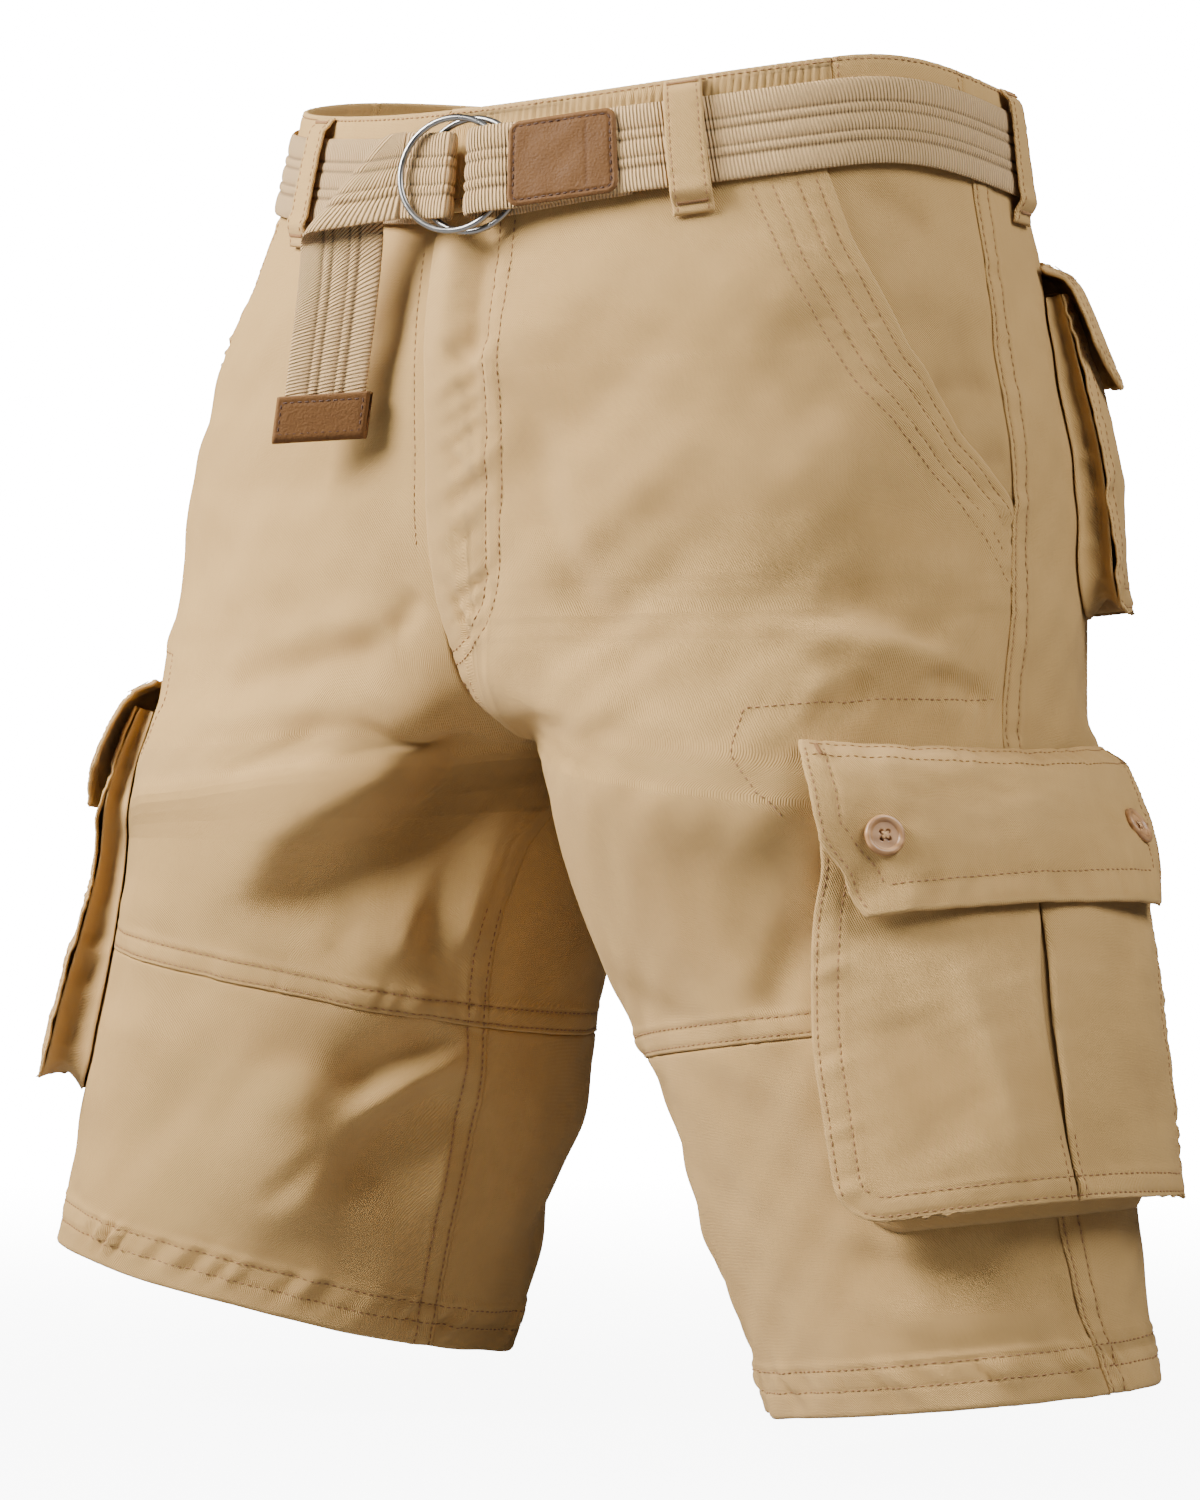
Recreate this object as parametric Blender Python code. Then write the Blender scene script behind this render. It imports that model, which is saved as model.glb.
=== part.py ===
"""Cargo shorts with a webbing belt, filled out as they hang on a wearer. Metres, +Z up, front along -Y."""
import bpy
import numpy as np

for item in list(bpy.data.objects):
    bpy.data.objects.remove(item, do_unlink=True)

# Driving sizes
CLOTH = 0.0015          # wall of one layer of twill
GAP = 0.0003            # space left between two sewn pieces
BAND_OUT = 0.0008       # the doubled waistband stands this far outside the panels
BAND_HEIGHT = 0.042     # waistband, top edge to waist seam
BELT_WIDTH = 0.035
BELT_MIDDLE = 0.0275    # belt centre line below the top edge of the waistband
BELT_REST = 0.0023      # centre of the webbing outside the panels' face
WEB = 0.0020            # webbing from its plain inside to the top of its ribs
RIB = 0.0006            # height of a rib over the groove beside it
RING_RADIUS = 0.0228    # centre of a ring to the centre of its wire
WIRE = 0.00125          # radius of the ring wire
LOOP_WIDTH = 0.016
THIGH_SEAM = {"left": 9.68, "right": 9.66}      # where the upper and lower leg panels meet, in sections

# One row for each cross-section of half the shorts. outer and inner are the distances of its sides
# from the middle plane, front and back its depths from the line y, wrap the angle that it goes round
# from the side to the centre seams, turn the way its long axis swings to the front, corner the extra
# fullness at the front hip, rise how much higher its side lies, outseam and inseam where the seams run.
COLUMNS = ("z", "outer", "inner", "front", "back", "y", "wrap", "tilt", "pitch", "turn",
           "corner", "rise", "outseam", "inseam")
TRUNK = (
    (.000, .163, .000, .126, .118, .000, 90, 0, 6, 0, .03, .012, .490, .000),    # top edge of the waist
    (-.042, .169, .000, .130, .122, .000, 90, 0, 6, 0, .04, .012, .490, .000),   # waist seam
    (-.100, .180, .000, .139, .134, .002, 90, 0, 5, 0, .06, .008, .487, .000),   # hip
    (-.160, .190, .000, .140, .143, .004, 94, 0, 4, 0, .07, .004, .485, .000),   # seat
    (-.212, .194, .000, .132, .142, .000, 106, 1, 2, 0, .06, .000, .485, .000),
    (-.244, .196, .000, .128, .139, -.006, 122, 0, 0, 0, .04, .000, .485, .000),
    (-.266, .2015, .000, .127, .135, -.010, 146, -2.5, 0, 0, .02, .000, .485, .000),
    (-.284, .211, .000, .125, .132, -.013, 180, -8.2, 0, 0, .01, .000, .483, .000),  # crotch
)
LEG = {
    "left": (
        (-.307, .217, .007, .118, .124, -.016, 180, -3, 0, 7, 0, 0, .480, .005),   # thigh
        (-.342, .224, .029, .103, .110, -.018, 180, 7, 0, 22, 0, 0, .470, .000),
        (-.404, .250, .048, .089, .092, -.022, 180, 8, 0, 34, 0, 0, .455, -.012),
        (-.462, .271, .069, .082, .080, -.025, 180, 8, 0, 38, 0, 0, .452, -.018),
        (-.521, .290, .091, .077, .075, -.027, 180, 8, 0, 40, 0, 0, .470, -.010),  # hem
    ),
    "right": (
        (-.306, .217, .007, .119, .125, -.016, 180, -3, -2, 7, 0, 0, .495, .030),
        (-.337, .224, .020, .105, .115, -.018, 180, 8, -4, 22, 0, 0, .500, .040),
        (-.394, .249, .037, .090, .094, -.022, 180, 8, -6, 34, 0, 0, .500, .035),
        (-.450, .268, .062, .083, .084, -.025, 180, 9, -8, 38, 0, 0, .495, .028),
        (-.507, .287, .086, .078, .076, -.027, 180, 10, -8, 40, 0, 0, .490, .020),
    ),
}
# The right leg steps out and forward: (out, forward) for each section from the waist to the hem
STEP = (
    (0, 0), (.004, .002), (.020, .010), (.027, .016), (.025, .018), (.0200, .0220), (.0155, .0250),
    (.0065, .0275), (.0020, .0290), (-.002, .030), (-.015, .031), (-.022, .031), (-.027, .030),
)
SIGN = {"left": 1, "right": -1}
# How much of that rise each side has: (at the front, at the back)
RISE = {"left": (1.0, -0.5), "right": (1.4, 1.4)}
LAST = len(TRUNK) + len(LEG["left"]) - 1

# The largest folds: from one end (down the side, round from the side line) to the other, how far the
# line bows, how high the fold stands (below zero for a trough) and its half width
FOLD_COLUMNS = ("down0", "round0", "down1", "round1", "bow", "height", "width")
FOLDS = {
    "left": (
        (.150, -.222, .266, -.152, -.010, -.0040, .016),    # soft trough over the front of the thigh
        (.238, -.150, .262, -.010, .004, -.0025, .008),     # creases over the cargo pocket
        (.310, .140, .380, .245, .006, -.0060, .018),       # back of the thigh
        (.180, .150, .240, .262, -.006, -.0045, .016),      # under the seat
        (.410, -.250, .480, -.180, .004, -.0030, .012),
        (.420, .180, .490, .250, .004, -.0035, .014),
    ),
    "right": (
        (.262, -.290, .372, -.175, -.012, -.0100, .017),    # deep trough from the crotch
        (.244, -.262, .330, -.140, -.008, .0045, .016),     # and the ridge above it
        (.274, -.232, .315, -.160, .003, -.0035, .009),
        (.392, -.288, .490, -.190, .006, .0045, .014),      # ridge across the lower leg
        (.402, -.272, .440, -.205, .004, -.0040, .009),
        (.442, -.256, .500, -.210, .003, -.0040, .010),
        (.310, .140, .380, .245, .006, -.0060, .018),
        (.180, .150, .240, .262, -.006, -.0045, .016),
        (.420, .180, .490, .250, .004, -.0035, .014),
    ),
}


def through(values, at):
    """Smooth curve through equally spaced rows, with no overshoot between them."""
    values = np.asarray(values, float)
    at = np.asarray(at, float)
    step = np.diff(values, axis=0)
    slope = np.empty_like(values)
    slope[0], slope[-1] = step[0], step[-1]
    product = step[1:] * step[:-1]
    total = step[1:] + step[:-1]
    slope[1:-1] = np.where(product > 0, 2 * product / np.where(total == 0, 1, total), 0)
    row = np.clip(np.floor(at).astype(int), 0, len(values) - 2)
    part = (at - row)[..., None]
    a, b, c, d = values[row], values[row + 1], slope[row], slope[row + 1]
    return (a * (1 + 2 * part) * (1 - part) ** 2 + c * part * (1 - part) ** 2
            + b * part ** 2 * (3 - 2 * part) + d * part ** 2 * (part - 1))


def section(side, t):
    values = through(TRUNK + LEG[side], t)
    return {name: values[..., i] for i, name in enumerate(COLUMNS)}


def base(side, t, u):
    """Unfolded cloth. t counts sections down from the waist; u goes from the centre front (0) round
    the side (0.5) to the centre back (1), and below the crotch it closes into the leg's tube."""
    t, u = np.broadcast_arrays(np.asarray(t, float), np.asarray(u, float))
    s = section(side, t)
    wrap, tilt, pitch, turn = (np.radians(s[name]) for name in ("wrap", "tilt", "pitch", "turn"))
    wide = (s["outer"] - s["inner"]) / (1 - np.cos(wrap))
    axis = s["inner"] - wide * np.cos(wrap) * np.cos(tilt)
    angle = (2 * u - 1) * wrap
    at = angle + turn
    deep = (s["front"] + s["back"]) / 2 + (s["back"] - s["front"]) / 2 * np.sin(at)
    full = 1 + s["corner"] * np.sin(2 * angle) ** 2 * ((angle < 0) & (angle > -np.pi / 2))
    across, along = wide * np.cos(at) * full, deep * np.sin(at) * full
    out = across * np.cos(turn) + along * np.sin(turn)
    back = along * np.cos(turn) - across * np.sin(turn)
    fore, aft = RISE[side]
    part = np.clip((u - 0.34) / 0.28, 0, 1)
    part = fore + (aft - fore) * part * part * (3 - 2 * part)
    lift = s["rise"] * part * np.cos(angle) ** 2
    xyz = np.stack([axis + out * np.cos(tilt), s["y"] + back * np.cos(pitch),
                    s["z"] + lift + out * np.sin(tilt) + back * np.sin(pitch)], -1)
    if side == "right":
        own = np.clip((t - 7) / 2, 0, 1)
        own = own * own * (3 - 2 * own)
        share = np.sin(np.pi * u) ** 2 * (1 - own) + own
        step = through(STEP, t)
        xyz[..., 0] += step[..., 0] * share
        xyz[..., 1] -= step[..., 1] * share
    xyz[..., 0] *= SIGN[side]
    return xyz


# Girth of each section and distance down the side line, for sizes laid out as on the flat cloth
FINE = np.linspace(0, LAST, 481)
GIRTH, DOWN = {}, {}
for side in SIGN:
    rings = base(side, FINE[:, None], np.linspace(0, 1, 161)[None])
    GIRTH[side] = np.linalg.norm(np.diff(rings, axis=1), axis=2).sum(1)
    line = base(side, FINE, 0.5)
    DOWN[side] = np.r_[0, np.cumsum(np.linalg.norm(np.diff(line, axis=0), axis=1))]


def girth(side, t):
    return np.interp(t, FINE, GIRTH[side])


def down(side, t):
    return np.interp(t, FINE, DOWN[side])


def row_at(side, distance):
    return np.interp(distance, DOWN[side], FINE)


def spread(side, distance, across):
    """(t, u) of a point so far down the side and so far behind (+) or before (-) the side seam."""
    t = row_at(side, distance)
    return t, section(side, t)["outseam"] + across / girth(side, t)


def fold_height(side, t, u):
    """Sum of the soft ridges and troughs at each point."""
    far, turn = down(side, t), (u - 0.5) * girth(side, t)
    height = np.zeros(np.shape(far))
    for values in FOLDS[side]:
        f = dict(zip(FOLD_COLUMNS, values))
        start, end = np.array([f["down0"], f["round0"]]), np.array([f["down1"], f["round1"]])
        length = np.linalg.norm(end - start)
        way = (end - start) / length
        along = ((far - start[0]) * way[0] + (turn - start[1]) * way[1]) / length
        aside = (turn - start[1]) * way[0] - (far - start[0]) * way[1]
        aside = aside - f["bow"] * 4 * np.clip(along, 0, 1) * (1 - np.clip(along, 0, 1))
        ends = np.clip(np.minimum(along, 1 - along) / 0.3 + 0.25, 0, 1)
        ends = ends * ends * (3 - 2 * ends)
        height += f["height"] * ends * np.exp(-(aside / f["width"]) ** 2)
    calm = np.clip((t - 1) / 1.2, 0, 1) * np.clip((LAST - t) / 0.5, 0, 1)
    return height * calm


def outward(side, t, u, shape):
    du, dt = 1e-3, 1e-2
    round_ = shape(side, t, u + du) - shape(side, t, u - du)
    fall = shape(side, t + dt, u) - shape(side, t - dt, u)
    normal = -SIGN[side] * np.cross(round_, fall)
    return normal / np.linalg.norm(normal, axis=-1, keepdims=True)


def folded(side, t, u):
    t, u = np.broadcast_arrays(np.asarray(t, float), np.asarray(u, float))
    return base(side, t, u) + outward(side, t, u, base) * fold_height(side, t, u)[..., None]


def skin(side, t, u, out=0.0):
    """Outer face of the cloth, moved out along its normal; the halves stand half a gap apart."""
    t, u = np.broadcast_arrays(np.asarray(t, float), np.asarray(u, float))
    xyz = folded(side, t, u) + outward(side, t, u, folded) * np.asarray(out, float)[..., None]
    xyz[..., 0] += SIGN[side] * GAP / 2
    return xyz


def stand(side, t, u, out):
    """Point well off the cloth: the folds under it fade with its height."""
    t, u = np.broadcast_arrays(np.asarray(t, float), np.asarray(u, float))
    height = out + fold_height(side, t, u) * np.exp(-np.asarray(out, float) / 0.006)
    xyz = base(side, t, u) + outward(side, t, u, base) * height[..., None]
    xyz[..., 0] += SIGN[side] * GAP / 2
    return xyz


# Materials and solids
COLOURS = {
    "twill": ((0.52, 0.37, 0.22), 0.9, 0.0),
    "webbing": ((0.56, 0.44, 0.28), 0.9, 0.0),
    "steel": ((0.62, 0.62, 0.63), 0.25, 1.0),
    "leather": ((0.33, 0.17, 0.10), 0.6, 0.0),
    "button": ((0.30, 0.18, 0.09), 0.4, 0.0),
}
MATERIALS = {}
for name, (colour, roughness, metallic) in COLOURS.items():
    material = bpy.data.materials.new(name)
    material.use_nodes = True
    shader = material.node_tree.nodes["Principled BSDF"]
    shader.inputs["Base Color"].default_value = (*colour, 1)
    shader.inputs["Roughness"].default_value = roughness
    shader.inputs["Metallic"].default_value = metallic
    MATERIALS[name] = material


def solid(name, points, faces, material):
    mesh = bpy.data.meshes.new(name)
    mesh.from_pydata([tuple(p) for p in points], [], faces)
    mesh.materials.append(MATERIALS[material])
    corners = np.array([mesh.vertices[i].co for i in range(len(mesh.vertices))])
    mesh.calc_loop_triangles()
    tri = corners[np.array([t.vertices for t in mesh.loop_triangles])]
    if np.einsum("ij,ij->i", tri[:, 0], np.cross(tri[:, 1], tri[:, 2])).sum() < 0:
        mesh.flip_normals()
    mesh.shade_smooth()
    mesh.set_sharp_from_angle(angle=0.7)
    made = bpy.data.objects.new(name, mesh)
    bpy.context.scene.collection.objects.link(made)
    return made


def triangles(points, a, b, c, d):
    """Two triangles for each quad a-b-c-d, split along its shorter diagonal."""
    near = np.linalg.norm(points[a] - points[c], axis=-1) <= np.linalg.norm(points[b] - points[d], axis=-1)
    first = np.where(near[..., None], np.stack([a, b, c], -1), np.stack([a, b, d], -1))
    second = np.where(near[..., None], np.stack([a, c, d], -1), np.stack([b, c, d], -1))
    return np.concatenate([first.reshape(-1, 3), second.reshape(-1, 3)])


def slab(name, outer, inner, material):
    """Closed wall between two grids of points that have the same rows and columns."""
    rows, columns = outer.shape[:2]
    count = rows * columns
    index = np.arange(count).reshape(rows, columns)
    face = triangles(outer.reshape(-1, 3), index[:-1, :-1], index[:-1, 1:], index[1:, 1:], index[1:, :-1])
    rim = np.r_[index[0, :-1], index[:-1, -1], index[-1, :0:-1], index[:0:-1, 0]]
    after = np.roll(rim, -1)
    edge = np.stack([after, rim, rim + count, after + count], -1)
    faces = face.tolist() + (face[:, ::-1] + count).tolist() + edge.tolist()
    return solid(name, np.r_[outer.reshape(-1, 3), inner.reshape(-1, 3)], faces, material)


def run(name, rings, material, closed=False, cap=None):
    """Solid along a path: the same outline at each station, joined ring to ring. cap lists the
    triangles that fill a hollow outline at the two ends."""
    stations, corners = rings.shape[:2]
    index = np.arange(stations * corners).reshape(stations, corners)
    here, there = (index, np.roll(index, -1, 0)) if closed else (index[:-1], index[1:])
    faces = triangles(rings.reshape(-1, 3), here, np.roll(here, -1, 1), np.roll(there, -1, 1), there).tolist()
    if not closed:
        fill = np.array([range(corners)] if cap is None else cap)
        faces += index[0][fill[:, ::-1]].tolist() + index[-1][fill].tolist()
    return solid(name, rings.reshape(-1, 3), faces, material)


def sheet(name, side, t, u, out, thick, material="twill"):
    """A cloth piece laid on the form, its face out from the skin and its wall going inward."""
    out = np.broadcast_to(np.asarray(out, float), np.broadcast(t, u).shape)
    return slab(name, skin(side, t, u, out), skin(side, t, u, out - thick), material)


def sewn(side, t):
    """Half a seam's gap as a share of u, and as a share of t."""
    pace = (down(side, t + 0.02) - down(side, t - 0.02)) / 0.04
    return GAP / 2 / girth(side, t), GAP / 2 / pace


# Main panels

# Slanted opening of the hip pocket: (down the side, before the side seam)
OPENING = ((.040, .080), (.072, .073), (.116, .055), (.146, .032), (.172, .004), (.176, .000))


def opening_edge(side, t):
    """u of the pocket opening's edge, which runs into the side seam at its lower end."""
    table = np.array(OPENING)
    before = np.interp(down(side, t), table[:, 0], table[:, 1], right=0)
    return section(side, t)["outseam"] - before / girth(side, t)


UPPER_ROWS = (1, 1.6, 2.2, 2.7, 3.15, 3.7, 4.3, 4.9, 5.5, 6.1, 6.6, 7, 7.4, 7.8, 8.3, 8.8, 9.25)
LOWER_ROWS = (10.1, 10.6, 11.1, 11.6, LAST)
FRONT_COLUMNS, BACK_COLUMNS = 11, 13
UNDER = 0.0009          # room between a panel and what lies behind it


def panel(name, side, rows, is_front, across):
    """One leg panel between the centre or inside leg seam and the side seam."""
    t = np.asarray(rows, float)
    half_u, half_t = sewn(side, t)
    ends = np.array([half_t[0], *([0] * (len(t) - 2)), -half_t[-1] if t[-1] < LAST else 0])
    t = t + ends
    s = section(side, t)
    part = np.linspace(0, 1, across)[None]
    if is_front:
        low, high = s["inseam"] + half_u, opening_edge(side, t) - half_u
    else:
        low, high = s["outseam"] + half_u, 1 + s["inseam"] - half_u
    u = low[:, None] + (high - low)[:, None] * part
    sheet(name, side, t[:, None], u, 0.0, CLOTH)


for side in SIGN:
    seam = THIGH_SEAM[side]
    for half, across in (("front", FRONT_COLUMNS), ("back", BACK_COLUMNS)):
        panel(f"{half}_upper_{side}", side, (*UPPER_ROWS, seam), half == "front", across)
        panel(f"{half}_lower_{side}", side, (seam, *LOWER_ROWS), half == "front", across)


def side_piece(side):
    """Cloth seen inside the slanted opening: it lies under the front panel and meets the side seam."""
    t = np.array((1.12, *UPPER_ROWS[1:6]))
    low = opening_edge(side, t) - 0.012 / girth(side, t)
    high = section(side, t)["outseam"] - sewn(side, t)[0] * 5
    u = low[:, None] + (high - low)[:, None] * np.linspace(0, 1, 5)[None]
    sheet(f"pocket_side_{side}", side, t[:, None], u, -CLOTH - UNDER, CLOTH)


for side in SIGN:
    side_piece(side)


def fly_shield():
    """Strip behind the centre-front opening, across the two halves."""
    t = np.array((1.12, *UPPER_ROWS[1:8]))[:, None]
    grids = []
    for out in (-CLOTH - UNDER * 2, -2 * CLOTH - UNDER * 2):
        halves = []
        for side, places in (("right", (.016, .008, .0008)), ("left", (.0008, .011, .022, .034))):
            halves.append(skin(side, t, np.array(places)[None] / girth(side, t), out))
        grids.append(np.concatenate(halves, axis=1))
    slab("fly_shield", grids[0], grids[1], "twill")


fly_shield()


# Waistband and belt loops

BAND_SEAM = 0.335       # share of the half round at which the front piece meets the side piece
SIDE_SEAM = 0.490       # and at which the side piece meets the back piece
GATHERS = 24            # puckers in the front left piece


def band(name, side, start, end, across, pucker=0.0):
    t = np.array([0.0, 0.5, 1.0 - sewn(side, 1.0)[1]])
    half = sewn(side, 0.5)[0]
    u = np.linspace(start + (half if start > 0 else 0), end - (half if end < 1 else 0), across)[None]
    wave = np.where(np.arange(across) % 2, 1.0, 0.0)[None] * np.array([0.7, 1, 0.6])[:, None]
    outer = skin(side, t[:, None], u, BAND_OUT - pucker + pucker * wave)
    inner = skin(side, t[:, None], u, BAND_OUT - 0.0026)
    slab(name, outer, inner, "twill")


for side in SIGN:
    gathered = side == "left"
    band(f"waistband_front_{side}", side, 0, BAND_SEAM, 2 * GATHERS + 1 if gathered else 13,
         0.0006 if gathered else 0)
    band(f"waistband_side_{side}", side, BAND_SEAM, SIDE_SEAM, 8)
    band(f"waistband_back_{side}", side, SIDE_SEAM, 1, 17)


# Closed way round the waist: 0 at the centre front, 0.25 left, 0.5 centre back, 0.75 right
def waist(share, distance):
    share = np.mod(share, 1.0)
    left = share < 0.5
    u = np.where(left, 2 * share, 2 * (1 - share))
    t = row_at("left", distance)
    return np.where(left[..., None], base("left", t, u), base("right", t, u))


ROUND = np.linspace(-0.6, 0.6, 1201)
RING_LINE = waist(ROUND, np.full(1201, BELT_MIDDLE))
RING_LENGTH = np.r_[0, np.cumsum(np.linalg.norm(np.diff(RING_LINE, axis=0), axis=1))]
RING_LENGTH -= np.interp(0, ROUND, RING_LENGTH)


def belt_frame(arc):
    """Point, way round, outward and upward directions on the band, arc metres left of the front."""
    share = np.interp(arc, RING_LENGTH, ROUND)
    middle = np.full(np.shape(share), BELT_MIDDLE)
    along = waist(share + 0.004, middle) - waist(share - 0.004, middle)
    up = waist(share, middle - 0.012) - waist(share, middle + 0.012)
    out = np.cross(along, up)
    for vector in (along, out):
        vector /= np.linalg.norm(vector, axis=-1, keepdims=True)
    return waist(share, middle), along, out, np.cross(out, along)


def sag(arc):
    """The rings pull the belt down in front."""
    return -0.0032 * np.exp(-((np.asarray(arc, float) - 0.010) / 0.038) ** 2)


def by_belt(arc, out, height):
    """World point from its place along, out from and up the belt's line."""
    arc, out, height = np.broadcast_arrays(*(np.asarray(v, float) for v in (arc, out, height)))
    point, _, away, up = belt_frame(arc)
    return point + away * out[..., None] + up * (height + sag(arc))[..., None]


BACK_ARC = float(np.interp(0.5, ROUND, RING_LENGTH))
# Line of a belt loop over the belt: down from the top edge, out from the skin
LOOP_LINE = ((.0010, .0018), (.0040, .0030), (.0078, .0052), (.0180, .0056), (.0350, .0056),
             (.0465, .0052), (.0500, .0032), (.0528, .0008), (.0565, .0006))
# Each loop's place along the belt, and how far the cloth under its lower end swells out
LOOPS = {"front_left": (.111, .0014), "front_right": (-.090, .0030), "side_left": (.268, .0014),
         "side_right": (-.268, .0040), "back": (BACK_ARC - 0.0002, .0026)}


def belt_loop(name, arc, swell):
    """Doubled strip from the top edge, over the belt, to just below the waist seam."""
    distance, rest = np.array(LOOP_LINE).T[:, :, None]
    rest = rest + swell * np.clip((distance - 0.042) / 0.010, 0, 1)
    across = arc + np.linspace(-0.5, 0.5, 3)[None] * LOOP_WIDTH
    grids = [by_belt(across, rest + out, BELT_MIDDLE - distance) for out in (0.0016, 0.0)]
    slab(f"belt_loop_{name}", grids[0], grids[1], "twill")


for name, (arc, swell) in LOOPS.items():
    belt_loop(name, arc, swell)


# Webbing belt

# Across the webbing: place and whether it is on a rib (1) or in a groove (0)
RIBS = ((-17.5, 0), (-16.2, 1), (-8.8, 1), (-7.5, 0), (-5.6, 1), (-3.7, 0), (-2.5, 1),
        (2.5, 1), (3.7, 0), (5.6, 1), (7.5, 0), (8.8, 1), (16.2, 1), (17.5, 0))


def web_outline():
    """(height, depth) round one cut through the webbing, ribbed outside and plain inside."""
    ribs = np.array(RIBS) * 0.001 * (BELT_WIDTH / 0.035)
    face = [(h, WEB / 2 - RIB + RIB * 1000 * r) for h, r in ribs]
    return np.array(face + [(BELT_WIDTH / 2, -WEB / 2), (-BELT_WIDTH / 2, -WEB / 2)])


def web_along(points, outline):
    """Rings of webbing along a line of (arc, out) that stays level with the belt."""
    points = np.asarray(points, float)
    way = np.gradient(points, axis=0)
    way /= np.linalg.norm(way, axis=1, keepdims=True)
    face = np.stack([-way[:, 1], way[:, 0]], -1)
    arc = points[:, None, 0] + face[:, None, 0] * outline[None, :, 1]
    out = points[:, None, 1] + face[:, None, 1] * outline[None, :, 1]
    return by_belt(arc, out, outline[None, :, 0] + 0 * arc)


def half_turn(centre, radius, start, end, steps):
    angle = np.radians(np.linspace(start, end, steps))
    return [(centre[0] + radius * np.cos(a), centre[1] + radius * np.sin(a)) for a in angle]


def smooth_line(points, spacing):
    """Even steps along a smooth curve through a few points."""
    points = np.asarray(points, float)
    fine = through(points, np.linspace(0, len(points) - 1, 40 * len(points)))
    length = np.r_[0, np.cumsum(np.linalg.norm(np.diff(fine, axis=0), axis=1))]
    steps = np.linspace(0, length[-1], max(int(round(length[-1] / spacing)), 2) + 1)
    return np.stack([np.interp(steps, length, fine[:, i]) for i in range(points.shape[1])], -1)


# Lines of the webbing seen from above, as (arc, out): the sewn end loop that holds both rings, and
# the part that comes round the right side, passes behind the rings and turns back over the inner one
END_BACK = ((.0880, .0023), (.0640, .0023), (.0430, .0023), (.0362, .0027), (.0300, .0049), (.0265, .0059))
END_TURN = ((.0252, .0105), .0044, -100, -258, 8)
END_FRONT = ((.0262, .0149), (.0310, .0146), (.0380, .0120), (.0440, .0096), (.0640, .0070),
             (.0860, .0056), (.0960, .0049), (.1080, .0035), (.1260, .0024))
STRAP_IN = ((-.0520, .0024), (-.0350, .0032), (-.0180, .0053), (-.0040, .0077), (.0085, .0092))
STRAP_TURN = ((.0105, .0122), .0029, -82, 82, 7)
STRAP_OUT = ((.0085, .0151), (.0040, .0158), (-.0010, .0170), (-.0060, .0184))

outline = web_outline()
last = len(RIBS)
web_cap = ([(last + 1, i, i + 1) for i in range(last // 2)] + [(last + 1, last // 2, last)]
           + [(last, i, i + 1) for i in range(last // 2, last - 1)])
places = np.r_[np.linspace(0, BAND_SEAM, 13), np.linspace(BAND_SEAM, SIDE_SEAM, 8)[1:],
               np.linspace(SIDE_SEAM, 1, 17)[1:]]
left_arcs = np.interp(places / 2, ROUND, RING_LENGTH)
right_arcs = np.interp(-places / 2, ROUND, RING_LENGTH)

left_line = [*smooth_line(END_BACK, .011)[:-1], *half_turn(*END_TURN), *smooth_line(END_FRONT, .0085)[1:],
             *[(a, BELT_REST) for a in left_arcs[left_arcs > .133]]]
left_line[-1] = (BACK_ARC - GAP / 2, BELT_REST)
run("belt_left", web_along(left_line, outline), "webbing", cap=web_cap)

def hip_swell(arc):
    """The right side of the waist curves out below the belt, which lifts its lower edge."""
    return 0.0010 * np.exp(-((arc + 0.19) / 0.08) ** 2)


right_line = [*[(a, BELT_REST + hip_swell(a)) for a in right_arcs[right_arcs < -.058][::-1]],
              *smooth_line(STRAP_IN, .009)[:-1], *half_turn(*STRAP_TURN), *smooth_line(STRAP_OUT, .004)[1:]]
right_line[0] = (-BACK_ARC + GAP / 2, BELT_REST)
run("belt_right", web_along(right_line, outline), "webbing", cap=web_cap)


# Hanging end: the strap leaves the rings, folds back on a slanted crease and hangs down
STRAP_FALL = np.radians(10)     # how steeply the strap drops as it leaves the rings
STRAP_FLARE = np.radians(27)    # how far it turns away from the waist
CREASE_FOOT = 0.0392            # along the strap to the lower end of the crease
CREASE_ANGLE = np.radians(43)   # between the strap and the crease
CREASE_RADIUS = 0.0034
TAIL_LENGTH = 0.1255
TAIL_SWING = 0.24       # sideways drift of the hanging end for each metre that it drops
TAIL_SINK = 0.20        # how much it leans back to the cloth


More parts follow.
